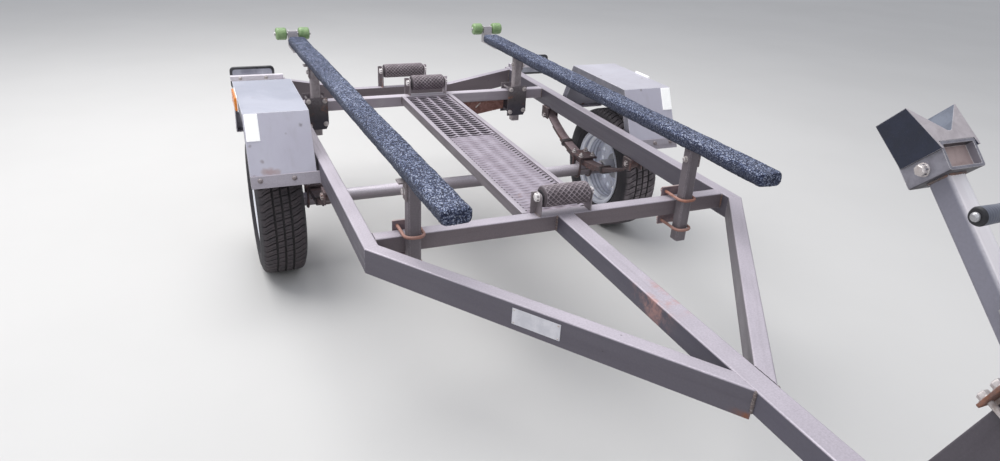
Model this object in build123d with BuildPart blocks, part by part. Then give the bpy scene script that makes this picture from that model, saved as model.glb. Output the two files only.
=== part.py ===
from build123d import *
import math
import os

os.makedirs("parts", exist_ok=True)

# Boat trailer, single axle, parked level on its jockey wheel. Millimetres.
# Frame: +Z up, +Y to the rear. Left and right are the trailer's own, as seen
# facing forward (-Y), so the left side is +X and the right side is -X.
# Origin on the ground, in the middle of the trailer's length and width.

# ---------------------------------------------------------------- driving sizes
AXLE_Y = 1000.0          # axle line
WHEEL_Z = 289.0          # wheel centre height = tyre radius
TYRE_R = 289.0           # 175/70 R13
TYRE_HALF_W = 89.5
WHEEL_X = 803.0          # middle plane of each wheel
RIM_FACE_S = 30.0        # mounting face, outboard of the wheel's middle plane

FRAME_TOP = 576.0        # top of every main frame tube
RAIL_OUT = 665.0         # outer face of the side rails
RAIL_W, RAIL_H, RAIL_T = 45.0, 80.0, 3.0
KINK_Y = -69.0           # outer corner where rail and drawbar arm meet
RAIL_END_Y = 1948.0
ARM_TIP = (30.0, -952.0)  # where an arm's outer face meets the drawbar's side
DRAWBAR = 60.0
DRAWBAR_FRONT_Y = -1830.0

FRONT_CROSS_Y, FRONT_CROSS_D, FRONT_CROSS_H = -20.0, 46.0, 55.0
REAR_CROSS_Y, REAR_CROSS_D, REAR_CROSS_H = 1454.0, 45.0, 50.0
DROP_Y, DROP_D, DROP_H = 1890.0, 40.0, 88.0
DROP_FLAT_X, DROP_FLAT_Z = 262.0, 507.0
RAIL_IN = RAIL_OUT - RAIL_W

SIDES = (("right", -1.0), ("left", 1.0))


# ---------------------------------------------------------------- small helpers
def hollow_section(origin, x_dir, z_dir, width, height, wall, length, corner=5.0):
    """A square or rectangular tube, drawn on its end plane and run along z_dir."""
    with BuildSketch(Plane(origin=origin, x_dir=x_dir, z_dir=z_dir)) as end:
        RectangleRounded(width, height, corner)
        RectangleRounded(width - 2 * wall, height - 2 * wall,
                         max(corner - wall, 0.8), mode=Mode.SUBTRACT)
    extrude(end.sketch, amount=length)


def rod(p0, p1, radius, bore=0.0):
    """A straight round bar between two points, or a tube if it has a bore radius."""
    a, b = Vector(*p0), Vector(*p1)
    d = b - a
    with BuildSketch(Plane(origin=a, z_dir=d)) as end:
        Circle(radius)
        if bore:
            Circle(bore, mode=Mode.SUBTRACT)
    extrude(end.sketch, amount=d.length)


def block(x0, x1, y0, y1, z0, z1, mode=Mode.ADD):
    """A box from its six faces."""
    with Locations(((x0 + x1) / 2, (y0 + y1) / 2, (z0 + z1) / 2)):
        Box(abs(x1 - x0), abs(y1 - y0), abs(z1 - z0), mode=mode)


def side_profile(x, points):
    """A closed outline of (y, z) points on the plane at x, ready to run along +X."""
    with BuildSketch(Plane(origin=(x, 0, 0), x_dir=(0, 1, 0), z_dir=(1, 0, 0))) as prof:
        with BuildLine() as edge:
            Polyline(*points, close=True)
        make_face(edge.line)
    return prof.sketch


def turned(origin, side, points, mode=Mode.ADD):
    """A turned piece on an axis along X: (s, r) points, s outboard from origin."""
    x, y, z = origin
    with BuildSketch(Plane(origin=(x, y, z), x_dir=(1, 0, 0), z_dir=(0, -1, 0))) as prof:
        with BuildLine() as edge:
            Polyline(*[(side * s, r) for s, r in points], close=True)
        make_face(edge.line)
    revolve(prof.sketch, axis=Axis((x, y, z), (1, 0, 0)), mode=mode)


def hex_nut(centre, axis, across, thick):
    """A hexagon nut or bolt head centred on a point."""
    with BuildSketch(Plane(origin=centre, z_dir=axis)) as hexa:
        RegularPolygon(across / 2, 6, major_radius=False)
    extrude(hexa.sketch, amount=thick / 2, both=True)


def save(piece, name):
    piece.part.label = name
    export_step(piece.part, f"parts/{name}.step")


# ---------------------------------------------------------------- main frame
kink = Vector(RAIL_OUT, KINK_Y, 0)
tip = Vector(ARM_TIP[0], ARM_TIP[1], 0)
arm_dir = (tip - kink).normalized()                    # left-hand arm, going forward
mitre_dir = (Vector(0, 1, 0) - arm_dir).normalized()   # normal of the mitre plane

for name, s in SIDES:
    d = Vector(s * arm_dir.X, arm_dir.Y, 0)
    m = Vector(s * mitre_dir.X, mitre_dir.Y, 0)
    k = Vector(s * RAIL_OUT, KINK_Y, FRAME_TOP - RAIL_H / 2)
    mitre = Plane(origin=k, z_dir=m)

    with BuildPart() as rail:
        hollow_section((s * (RAIL_OUT - RAIL_W / 2), KINK_Y - 60, FRAME_TOP - RAIL_H / 2),
                       (1, 0, 0), (0, 1, 0), RAIL_W, RAIL_H, RAIL_T,
                       RAIL_END_Y - KINK_Y + 60)
        split(bisect_by=mitre, keep=Keep.TOP)
        # pressed end cap
        block(s * (RAIL_IN + RAIL_T), s * (RAIL_OUT - RAIL_T), RAIL_END_Y - 3, RAIL_END_Y,
              FRAME_TOP - RAIL_H + RAIL_T, FRAME_TOP - RAIL_T)
    save(rail, f"{name}_side_rail")

    inward = Vector(-s * abs(d.Y), abs(d.X), 0)        # from the outer face to the inner
    start = k + inward * (RAIL_W / 2) - d * 80
    with BuildPart() as arm:
        hollow_section(start, (d.Y, -d.X, 0), d, RAIL_W, RAIL_H, RAIL_T, 1400)
        split(bisect_by=mitre, keep=Keep.BOTTOM)
        split(bisect_by=Plane(origin=(s * DRAWBAR / 2, 0, 0), z_dir=(s, 0, 0)), keep=Keep.TOP)
    save(arm, f"{name}_drawbar_arm")

with BuildPart() as drawbar:
    hollow_section((0, DRAWBAR_FRONT_Y, FRAME_TOP - DRAWBAR / 2), (1, 0, 0), (0, 1, 0),
                   DRAWBAR, DRAWBAR, 4.0, FRONT_CROSS_Y - DRAWBAR_FRONT_Y)
save(drawbar, "drawbar")

with BuildPart() as front_cross:
    hollow_section((-RAIL_IN, FRONT_CROSS_Y + FRONT_CROSS_D / 2, FRAME_TOP - FRONT_CROSS_H / 2),
                   (0, 1, 0), (1, 0, 0), FRONT_CROSS_D, FRONT_CROSS_H, RAIL_T, 2 * RAIL_IN)
save(front_cross, "front_cross_member")

# plate hanging under the rear cross member, left of the middle: (x, z) corners
GUSSET = ((160, 527), (408, 527), (408, 481), (276, 460), (160, 442))
with BuildPart() as rear_cross:
    hollow_section((-RAIL_IN, REAR_CROSS_Y + REAR_CROSS_D / 2, FRAME_TOP - REAR_CROSS_H / 2),
                   (0, 1, 0), (1, 0, 0), REAR_CROSS_D, REAR_CROSS_H, RAIL_T, 2 * RAIL_IN)
    with BuildSketch(Plane(origin=(0, REAR_CROSS_Y + 14, 0), x_dir=(1, 0, 0),
                           z_dir=(0, -1, 0))) as gusset:
        with BuildLine() as gusset_edge:
            Polyline(*GUSSET, close=True)
        make_face(gusset_edge.line)
    extrude(gusset.sketch, amount=6)
save(rear_cross, "rear_cross_member")

# dropped rear member: two sloping ends and a flat middle, one tube
DROP_OUTER = [(-RAIL_IN, 573.0), (-DROP_FLAT_X, DROP_FLAT_Z), (DROP_FLAT_X, DROP_FLAT_Z),
              (RAIL_IN, 573.0)]


def drop_outline(t):
    """Outline of the dropped member, shrunk by t above and below."""
    top = [(x, z - t) for x, z in DROP_OUTER]
    low = [(x, z - DROP_H + t) for x, z in reversed(DROP_OUTER)]
    return top + low


with BuildPart() as drop:
    for t, depth, mode in ((0.0, DROP_D, Mode.ADD), (RAIL_T, DROP_D - 2 * RAIL_T, Mode.SUBTRACT)):
        with BuildSketch(Plane(origin=(0, DROP_Y + DROP_D / 2, 0), x_dir=(1, 0, 0),
                               z_dir=(0, -1, 0))) as drop_face:
            with BuildLine() as drop_edge:
                Polyline(*drop_outline(t), close=True)
            make_face(drop_edge.line)
        extrude(drop_face.sketch, amount=depth / 2, both=True, mode=mode)
save(drop, "rear_dropped_member")

# ---------------------------------------------------------------- axle and springs
HUB_IN_S = -52.0                      # inboard end of the hub, from the wheel's middle
SPINDLE_R = 15.0
AXLE_TUBE_END = WHEEL_X + HUB_IN_S - 8
with BuildPart() as axle:
    rod((-AXLE_TUBE_END, AXLE_Y, WHEEL_Z), (AXLE_TUBE_END, AXLE_Y, WHEEL_Z), 28.0, 23.5)
    for name, s in SIDES:
        # stub pressed into the tube's end, open behind through the tube's other end
        rod((s * (AXLE_TUBE_END - 40), AXLE_Y, WHEEL_Z), (s * AXLE_TUBE_END, AXLE_Y, WHEEL_Z), 24.0)
        rod((s * (AXLE_TUBE_END - 1), AXLE_Y, WHEEL_Z),
            (s * (WHEEL_X + 44), AXLE_Y, WHEEL_Z), SPINDLE_R)
        # spring seat welded on top of the axle tube
        block(s * 620, s * 665, AXLE_Y - 28, AXLE_Y + 28, WHEEL_Z + 10, WHEEL_Z + 37)
save(axle, "axle_beam")

SPRING_X, SPRING_W = 642.5, 45.0
LEAF_T = 7.0
LEAVES = ((390.0, 430.0), (300.0, 330.0), (210.0, 240.0), (130.0, 150.0))  # reach: rear, front
SPRING_SEAT_Z = WHEEL_Z + 38
STACK = LEAF_T * len(LEAVES)
EYE_FRONT = (582.0, 471.0)
ARC_R = 776.8                          # radius of the main leaf's upper face
ARC_C = (969.6, 1131.2)                # its centre, above and just ahead of the axle
with BuildPart() as springs:
    for name, s in SIDES:
        x0 = s * SPRING_X - SPRING_W / 2
        for i, (reach_rear, reach_front) in enumerate(LEAVES):
            r_in = ARC_R + i * LEAF_T
            with BuildSketch(Plane(origin=(x0, 0, 0), x_dir=(0, 1, 0), z_dir=(1, 0, 0))) as leaf:
                with Locations(ARC_C):
                    Circle(r_in + LEAF_T)
                    Circle(r_in, mode=Mode.SUBTRACT)
                mid = AXLE_Y + (reach_rear - reach_front) / 2
                with Locations((mid, ARC_C[1] - ARC_R)):
                    Rectangle(reach_rear + reach_front, 360, mode=Mode.INTERSECT)
            extrude(leaf.sketch, amount=SPRING_W)
        # rolled front eye
        rod((x0, EYE_FRONT[0], EYE_FRONT[1]), (x0 + SPRING_W, EYE_FRONT[0], EYE_FRONT[1]), 17.0)
        with BuildSketch(Plane(origin=(x0, EYE_FRONT[0], EYE_FRONT[1]), x_dir=(0, 1, 0),
                               z_dir=(1, 0, 0))) as eye:
            Circle(8.3)
        extrude(eye.sketch, amount=SPRING_W, mode=Mode.SUBTRACT)
save(springs, "leaf_springs")

# hangers under the rails: y of the middle, length, lowest z, bolt y and z
HANGERS = ((EYE_FRONT[0], 62.0, 448.0, EYE_FRONT[0], EYE_FRONT[1]),
           (1385.0, 70.0, 440.0, 1385.0, 452.0))
with BuildPart() as hangers:
    for name, s in SIDES:
        for y, length, low, by, bz in HANGERS:
            for e in (-1, 1):
                xa = s * SPRING_X + e * 24.0
                block(xa, xa + e * 5, y - length / 2, y + length / 2, low, 496.0)
            block(s * SPRING_X - 24.5, s * SPRING_X + 24.5, y - length / 2, y + length / 2,
                  490.0, 496.0)
            rod((s * SPRING_X - 36, by, bz), (s * SPRING_X + 36, by, bz), 7.0)
            for e in (-1, 1):
                hex_nut((s * SPRING_X + e * 33, by, bz), (1, 0, 0), 22, 9)
save(hangers, "spring_hangers")

UBOLT_R = 5.0
UBOLT_BEND = 34.5
with BuildPart() as axle_ubolts:
    for name, s in SIDES:
        plate_z = SPRING_SEAT_Z + STACK + 4.6
        block(s * SPRING_X - 44, s * SPRING_X + 44, AXLE_Y - 55, AXLE_Y + 55, plate_z, plate_z + 9)
        for e in (-1, 1):
            x = s * SPRING_X + e * 31
            with BuildLine() as u_path:
                a = (x, AXLE_Y - UBOLT_BEND, plate_z + 26)
                b = (x, AXLE_Y - UBOLT_BEND, WHEEL_Z)
                c = (x, AXLE_Y + UBOLT_BEND, WHEEL_Z)
                f = (x, AXLE_Y + UBOLT_BEND, plate_z + 26)
                Line(a, b)
                ThreePointArc(b, (x, AXLE_Y, WHEEL_Z - UBOLT_BEND), c)
                Line(c, f)
            with BuildSketch(Plane(origin=a, z_dir=(0, 0, -1))) as u_end:
                Circle(UBOLT_R)
            sweep(u_end.sketch, path=u_path.line)
            for y in (AXLE_Y - UBOLT_BEND, AXLE_Y + UBOLT_BEND):
                hex_nut((x, y, plate_z + 13.5), (0, 0, 1), 17, 9)
save(axle_ubolts, "axle_u_bolts")

# ---------------------------------------------------------------- road wheels
# (s outboard from the wheel's middle plane, radius)
RIM_BARREL = ((-76, 174), (-76, 183), (-72, 183), (-66, 166), (-46, 165), (-38, 150),
              (18, 150), (28, 165), (66, 166), (72, 183), (76, 183), (76, 174),
              (70, 163), (64, 161.5), (30, 161), (22, 146), (-40, 146), (-50, 161),
              (-64, 161.5), (-70, 163))
RIM_DISC = ((30, 30), (34, 30), (34, 66), (44, 80), (44, 96), (26, 140), (24, 147),
            (8, 147), (8, 142.5), (22, 138), (40, 95), (40, 82), (30, 68))
VENTS, VENT_R, VENT_PITCH_R = 16, 12.0, 124.0
HUB = ((-52, 15.05), (-52, 33), (-40, 36), (14, 36), (20, 62), (30, 62), (30, 29.6),
       (34, 29.6), (36, 27), (54, 26), (58, 20), (58, 0), (50, 0), (50, 15.05))

for name, s in SIDES:
    centre = (s * WHEEL_X, AXLE_Y, WHEEL_Z)
    with BuildPart() as rim:
        turned(centre, s, RIM_BARREL)
        turned(centre, s, RIM_DISC)
        with BuildSketch(Plane(origin=centre, x_dir=(0, 1, 0), z_dir=(s, 0, 0))) as vents:
            with PolarLocations(VENT_PITCH_R, VENTS):
                Circle(VENT_R)
        extrude(vents.sketch, amount=60, mode=Mode.SUBTRACT)
    save(rim, f"{name}_wheel_rim")

    with BuildPart() as hub:
        turned(centre, s, HUB)
    save(hub, f"{name}_hub")

    with BuildPart() as tyre:
        with BuildSketch(Plane(origin=centre, x_dir=(1, 0, 0), z_dir=(0, -1, 0))) as tyre_prof:
            with BuildLine() as tyre_edge:
                for e in (-1, 1):
                    Polyline((0, 289), (e * 52, 288.2), (e * 66, 285))
                    ThreePointArc((e * 66, 285), (e * 79, 276), (e * 85, 258))
                    ThreePointArc((e * 85, 258), (e * TYRE_HALF_W, 232), (e * 80, 200))
                    ThreePointArc((e * 80, 200), (e * 74.5, 189.5), (e * 65, 183.5))
                    Polyline((e * 65, 183.5), (e * 65, 166.5), (e * 48, 166.2), (e * 55, 190))
                    ThreePointArc((e * 55, 190), (e * 78, 232), (e * 62, 274))
                    Line((e * 62, 274), (0, 277))
            make_face(tyre_edge.line)
        revolve(tyre_prof.sketch, axis=Axis(centre, (1, 0, 0)))
    save(tyre, f"{name}_tyre")

# ---------------------------------------------------------------- fenders
FENDER_IN, FENDER_OUT = 675.0, 908.0
FENDER_TOP, FENDER_LOW = 742.0, 506.0
FENDER_HALF_TOP, FENDER_HALF_LOW_AT_500 = 237.0, 355.0
FENDER_T, FLANGE = 2.5, 37.0
SLOPE = (FENDER_HALF_LOW_AT_500 - FENDER_HALF_TOP) / (FENDER_TOP - 500.0)
LEAN = math.sqrt(1 + SLOPE ** 2)


def half_y(z, t=0.0):
    """Half length of the fender's outline at height z, t inside the outer face."""
    return FENDER_HALF_TOP + (FENDER_TOP - z) * SLOPE - t * LEAN


def fender_outline(t):
    """Open-bottomed three-sided fender outline, t thick."""
    outer = [(-half_y(FENDER_LOW), FENDER_LOW), (-half_y(FENDER_TOP), FENDER_TOP),
             (half_y(FENDER_TOP), FENDER_TOP), (half_y(FENDER_LOW), FENDER_LOW)]
    inner = [(half_y(FENDER_LOW, t), FENDER_LOW), (half_y(FENDER_TOP - t, t), FENDER_TOP - t),
             (-half_y(FENDER_TOP - t, t), FENDER_TOP - t), (-half_y(FENDER_LOW, t), FENDER_LOW)]
    return [(AXLE_Y + y, z) for y, z in outer + inner]


for name, s in SIDES:
    x_low = FENDER_IN if s > 0 else -FENDER_OUT
    width = FENDER_OUT - FENDER_IN
    with BuildPart() as fender:
        extrude(side_profile(x_low, fender_outline(FENDER_T)), amount=width)
        for x in (x_low, x_low + width - FENDER_T):
            extrude(side_profile(x, fender_outline(FLANGE)), amount=FENDER_T)
    save(fender, f"{name}_fender")

with BuildPart() as fender_brackets:
    for name, s in SIDES:
        x_low = RAIL_OUT if s > 0 else -FENDER_OUT
        for e in (-1, 1):
            face = [(e * half_y(540, -5.2), 540.0), (e * half_y(540, -0.2), 540.0),
                    (e * half_y(505.5, -0.2), 505.5), (e * (half_y(505.5) - 38), 505.5),
                    (e * (half_y(500) - 38), 500.5), (e * half_y(500.5, -5.2), 500.5)]
            extrude(side_profile(x_low, [(AXLE_Y + y, z) for y, z in face]),
                    amount=FENDER_OUT - RAIL_OUT)
save(fender_brackets, "fender_brackets")

MARKERS = (("right", -1.0, 960.0, 1110.0), ("left", 1.0, 933.0, 1042.0))  # y from, y to
with BuildPart() as markers:
    for name, s, y0, y1 in MARKERS:
        block(s * FENDER_OUT, s * (FENDER_OUT + 12), y0, y1, 692, 750)
save(markers, "side_markers")

# ---------------------------------------------------------------- bunks and posts
BUNK_W, BUNK_H = 88.0, 47.0
# side, front middle of the top face, rear middle of the top face
BUNKS = {"right": ((-499.0, -372.0, 808.0), (-558.0, 1851.0, 798.0)),
         "left": ((439.0, -405.0, 816.0), (464.0, 1816.0, 789.0))}


def bunk_top(name, y):
    a, b = BUNKS[name]
    f = (y - a[1]) / (b[1] - a[1])
    return a[0] + f * (b[0] - a[0]), a[2] + f * (b[2] - a[2])


for name, (a, b) in BUNKS.items():
    a, b = Vector(*a), Vector(*b)
    d = (b - a).normalized()
    across = Vector(d.Y, -d.X, 0).normalized()
    up = across.cross(d)
    with BuildPart() as bunk:
        with BuildSketch(Plane(origin=a - up * (BUNK_H / 2), x_dir=across, z_dir=d)) as bunk_end:
            RectangleRounded(BUNK_W, BUNK_H, 8)
        extrude(bunk_end.sketch, amount=(b - a).length)
    save(bunk, f"{name}_bunk")

POST = 40.0
# side, x, y of the middle, lowest z, upright clamp kind
POSTS = (("right", -514.0, -40.0, 435.0, "front"), ("left", 441.0, -40.0, 435.0, "front"),
         ("right", -547.0, 1434.0, 425.0, "rear"), ("left", 460.0, 1434.0, 425.0, "rear"))


def post_top(side, x, y):
    """Height of the bunk's lower face over a post."""
    return bunk_top(side, y)[1] - BUNK_H - 0.6


with BuildPart() as posts:
    for side, x, y, low, where in POSTS:
        with BuildSketch(Plane(origin=(x, y, low))) as post_end:
            outer_sq = Rectangle(POST, POST)
            chamfer(post_end.vertices(), 5)
            Rectangle(POST - 6, POST - 6, mode=Mode.SUBTRACT)
        extrude(post_end.sketch, amount=post_top(side, x, y) - low)
save(posts, "bunk_posts")

ANGLE = 42.0                      # angle brackets that carry the bunks on the posts
with BuildPart() as bunk_angles:
    for side, x, y, low, where in POSTS:
        e = -1 if side == "right" else 1
        top = post_top(side, x, y)
        xa = x + e * (POST / 2)
        block(xa, xa + e * 5, y - 17, y + 17, top - 60, top)
        block(xa, xa + e * ANGLE * 0.6, y - 17, y + 17, top - 5, top)
        rod((xa, y, top - 34), (xa + e * 12, y, top - 34), 7)
save(bunk_angles, "bunk_angle_brackets")

CLAMP_ROD_R = 5.0
CLAMP_HALF, CLAMP_GAP = 30.0, 6.0
with BuildPart() as front_clamps:
    for side, x, y, low, where in POSTS:
        if where != "front":
            continue
        back_y = FRONT_CROSS_Y + FRONT_CROSS_D
        block(x - 44, x + 44, back_y + 0.2, back_y + 6.2, 466, 606)
        front_y = y - POST / 2 - CLAMP_ROD_R - CLAMP_GAP
        half = CLAMP_HALF
        for z in (590.0, 481.0):
            with BuildLine() as clamp_path:
                FilletPolyline((x - half, back_y + 24, z), (x - half, front_y, z),
                               (x + half, front_y, z), (x + half, back_y + 24, z), radius=24)
            with BuildSketch(Plane(origin=(x - half, back_y + 24, z), z_dir=(0, -1, 0))) as c_end:
                Circle(CLAMP_ROD_R)
            sweep(c_end.sketch, path=clamp_path.line)
            for e in (-1, 1):
                hex_nut((x + e * half, back_y + 11.2, z), (0, 1, 0), 19, 10)
save(front_clamps, "front_post_clamps")

# clamp plate outline, left of the post's middle: (x offset, z)
CLAMP_PLATE = ((-50, 455), (38, 455), (50, 480), (50, 605), (-50, 605))
CLAMP_BOLTS = ((-37.0, 474.0), (37.0, 481.0), (-37.0, 590.0), (37.0, 590.0))
with BuildPart() as rear_clamps:
    for side, x, y, low, where in POSTS:
        if where != "rear":
            continue
        for y0 in (y - POST / 2 - 6.2, REAR_CROSS_Y + REAR_CROSS_D + 0.2):
            with BuildSketch(Plane(origin=(x, y0 + 6, 0), x_dir=(1, 0, 0),
                                   z_dir=(0, -1, 0))) as plate:
                with BuildLine() as plate_edge:
                    Polyline(*CLAMP_PLATE, close=True)
                make_face(plate_edge.line)
            extrude(plate.sketch, amount=6)
        y0, y1 = y - POST / 2 - 6.2, REAR_CROSS_Y + REAR_CROSS_D + 6.2
        for bx, bz in CLAMP_BOLTS:
            rod((x + bx, y0 - 8, bz), (x + bx, y1 + 14, bz), 5)
            hex_nut((x + bx, y0 - 4, bz), (0, 1, 0), 17, 8)
            hex_nut((x + bx, y1 + 4.5, bz), (0, 1, 0), 17, 9)
save(rear_clamps, "rear_post_clamps")

# ---------------------------------------------------------------- bunk end rollers
GREEN_Y, GREEN_Z = 1887.0, 806.0
GREEN_BORE, GREEN_SPINDLE = 8.06, 8.0
# name, x of the middle, side of the bunk it belongs to
GREEN = (("right_outer", -627.0, "right"), ("right_inner", -517.0, "right"),
         ("left_inner", 414.0, "left"), ("left_outer", 525.0, "left"))
for name, x, side in GREEN:
    with BuildPart() as roller:
        turned((x, GREEN_Y, GREEN_Z), 1.0,
               ((-27, GREEN_BORE), (-27, 24), (-24, 28.5), (-20, 30), (20, 30), (24, 28.5),
                (27, 24), (27, GREEN_BORE)))
    save(roller, f"{name}_bunk_roller")

# cheek bracket between the two rollers of a bunk: side, middle x, bunk's end y
ROLLER_BRACKETS = (("right", -572.0, 1851.0), ("left", 469.5, 1816.0))
BRACKET_HALF = 22.5
with BuildPart() as bunk_roller_brackets:
    for side, x, end_y in ROLLER_BRACKETS:
        low = bunk_top(side, end_y)[1] - BUNK_H - 1.2
        block(x - BRACKET_HALF, x + BRACKET_HALF, end_y - 120, GREEN_Y + 16, low - 6, low)
        for e in (-1, 1):
            block(x + e * BRACKET_HALF, x + e * (BRACKET_HALF - 5), GREEN_Y - 22, GREEN_Y + 16,
                  low - 6, GREEN_Z + 16)
        block(x - BRACKET_HALF, x + BRACKET_HALF, GREEN_Y - 22, GREEN_Y - 17, low - 6,
              GREEN_Z + 16)
        rod((x - 88, GREEN_Y, GREEN_Z), (x + 88, GREEN_Y, GREEN_Z), GREEN_SPINDLE)
save(bunk_roller_brackets, "bunk_roller_brackets")

# ---------------------------------------------------------------- keel rollers
KEEL_R, KEEL_BORE, KEEL_SPINDLE = 36.0, 10.06, 10.0
# name, y, z, length, inner face of the bracket, bracket's foot z, bracket's top z,
# front edge y of the bracket, depth of the bracket
KEEL = (("front", 5.0, 636.0, 164.0, 88.0, FRAME_TOP, 650.0, -19.0, 42.0),
        ("middle", 1480.0, 633.0, 162.0, 87.0, FRAME_TOP, 655.0, 1455.0, 42.0),
        ("rear", 1913.0, 592.0, 216.0, 113.5, DROP_FLAT_Z, 616.0, 1891.0, 38.0))
for name, y, z, length, inner, foot, top, front, depth in KEEL:
    h = length / 2
    with BuildPart() as keel:
        turned((0, y, z), 1.0,
               ((-h, KEEL_BORE), (-h, 30), (-h + 6, KEEL_R), (h - 6, KEEL_R), (h, 30),
                (h, KEEL_BORE)))
    save(keel, f"{name}_keel_roller")

KEEL_LEG, KEEL_T = 22.0, 4.0
with BuildPart() as keel_brackets:
    for name, y, z, length, inner, foot, top, front, depth in KEEL:
        back = front + depth
        for e in (-1, 1):
            cheek = [(front, foot), (front, top - 12), (front + 4, top - 4), (front + 12, top),
                     (back, top), (back, foot)]
            extrude(side_profile(e * inner if e > 0 else -inner - KEEL_T, cheek), amount=KEEL_T)
            if name != "front" or e < 0:
                block(e * inner, e * (inner + KEEL_LEG), back - KEEL_T, back, foot, top)
            hex_nut((e * (inner + KEEL_T + 5), y, z), (1, 0, 0), 24, 10)
        rod((-inner - 14, y, z), (inner + 14, y, z), KEEL_SPINDLE)
save(keel_brackets, "keel_roller_brackets")

# ---------------------------------------------------------------- walkway
WALK_L, WALK_R, WALK_W, WALK_H = -134.0, 121.0, 20.0, 40.0
WALK_Y0, WALK_Y1 = FRONT_CROSS_Y + FRONT_CROSS_D, REAR_CROSS_Y
PLANK_END_Y = 820.0
with BuildPart() as walk_sides:
    for x in (WALK_L + WALK_W / 2, WALK_R - WALK_W / 2):
        hollow_section((x, WALK_Y0, FRAME_TOP - WALK_H / 2), (1, 0, 0), (0, 1, 0),
                       WALK_W, WALK_H, 2.0, WALK_Y1 - WALK_Y0, corner=3.0)
save(walk_sides, "walkway_side_members")

with BuildPart() as plank:
    block(WALK_L + WALK_W, WALK_R - WALK_W, WALK_Y0, PLANK_END_Y, FRAME_TOP - 7, FRAME_TOP - 4)
    for x in (WALK_L + WALK_W, WALK_R - WALK_W - 3):
        block(x, x + 3, WALK_Y0, PLANK_END_Y, FRAME_TOP - 36, FRAME_TOP - 4)
save(plank, "walkway_plank")

with BuildPart() as grating:
    block(WALK_L + WALK_W, WALK_R - WALK_W, PLANK_END_Y + 2, WALK_Y1, FRAME_TOP - 12,
          FRAME_TOP - 6)
save(grating, "walkway_grating")

# ---------------------------------------------------------------- tail lamps
with BuildPart() as lamp_bars:
    for name, s in SIDES:
        x0 = 632.0 if s > 0 else -885.0
        hollow_section((x0, 1917.5, FRAME_TOP + 12.7), (0, 1, 0), (1, 0, 0), 25, 25, 2.0,
                       253, corner=3)
save(lamp_bars, "tail_lamp_bars")

with BuildPart() as lamps:
    for name, s in SIDES:
        with BuildSketch(Plane(origin=(s * 777.5, 1930.4, 585), x_dir=(1, 0, 0),
                               z_dir=(0, 1, 0))) as lamp_face:
            RectangleRounded(215, 110, 20)
        extrude(lamp_face.sketch, amount=19.6)
save(lamps, "tail_lamps")

# ---------------------------------------------------------------- winch post and bow stop
# Arm frame: origin O on the arm's middle line, n up and forward, a up and back.
H = math.sqrt(0.5)
ARM_O = Vector(0, -1180, 1136)
N = Vector(0, -H, H)
A = Vector(0, H, H)


def arm_pt(x, n, a):
    return ARM_O + Vector(x, 0, 0) + N * n + A * a


POST_W, POST_D = 60.0, 75.0
post_dir = Vector(0, -0.352, 0.936).normalized()
post_fwd = Vector(0, -0.936, -0.352).normalized()
post_rear_foot = Vector(0, -1266, FRAME_TOP)
rear_face = Plane(origin=post_rear_foot, z_dir=-post_fwd)
ARM_SQ = 40.0
with BuildPart() as winch_post:
    hollow_section(post_rear_foot + post_fwd * (POST_D / 2) - post_dir * 60, (1, 0, 0), post_dir,
                   POST_W, POST_D, 4.0, 560)
    split(bisect_by=Plane(origin=(0, 0, FRAME_TOP), z_dir=(0, 0, 1)), keep=Keep.TOP)
    split(bisect_by=Plane(origin=arm_pt(0, ARM_SQ / 2, 0), z_dir=N), keep=Keep.BOTTOM)
save(winch_post, "winch_post")

ARM_TOP_A = 11.8
with BuildPart() as bow_arm:
    hollow_section(arm_pt(0, 0, -460), (1, 0, 0), A, ARM_SQ, ARM_SQ, 3.0, 460 + ARM_TOP_A,
                   corner=8.0)
    split(bisect_by=rear_face, keep=Keep.TOP)
save(bow_arm, "bow_stop_arm")

# front face of the V block, leaning back, and mouth of the box bracket
STOP_LOW, STOP_TOP = arm_pt(0, 43, 41), arm_pt(0, 25, 118)
MOUTH_LOW, MOUTH_TOP = arm_pt(0, 38.5, 7), arm_pt(0, 40, 53)


def cut_away(p, q, r, inside):
    """Cut the piece by the plane through p, q and r, and keep the side of inside."""
    out = (q - p).cross(r - p).normalized()
    if out.dot(inside - p) > 0:
        out = out * -1
    split(bisect_by=Plane(origin=p, z_dir=out), keep=Keep.BOTTOM)


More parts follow.
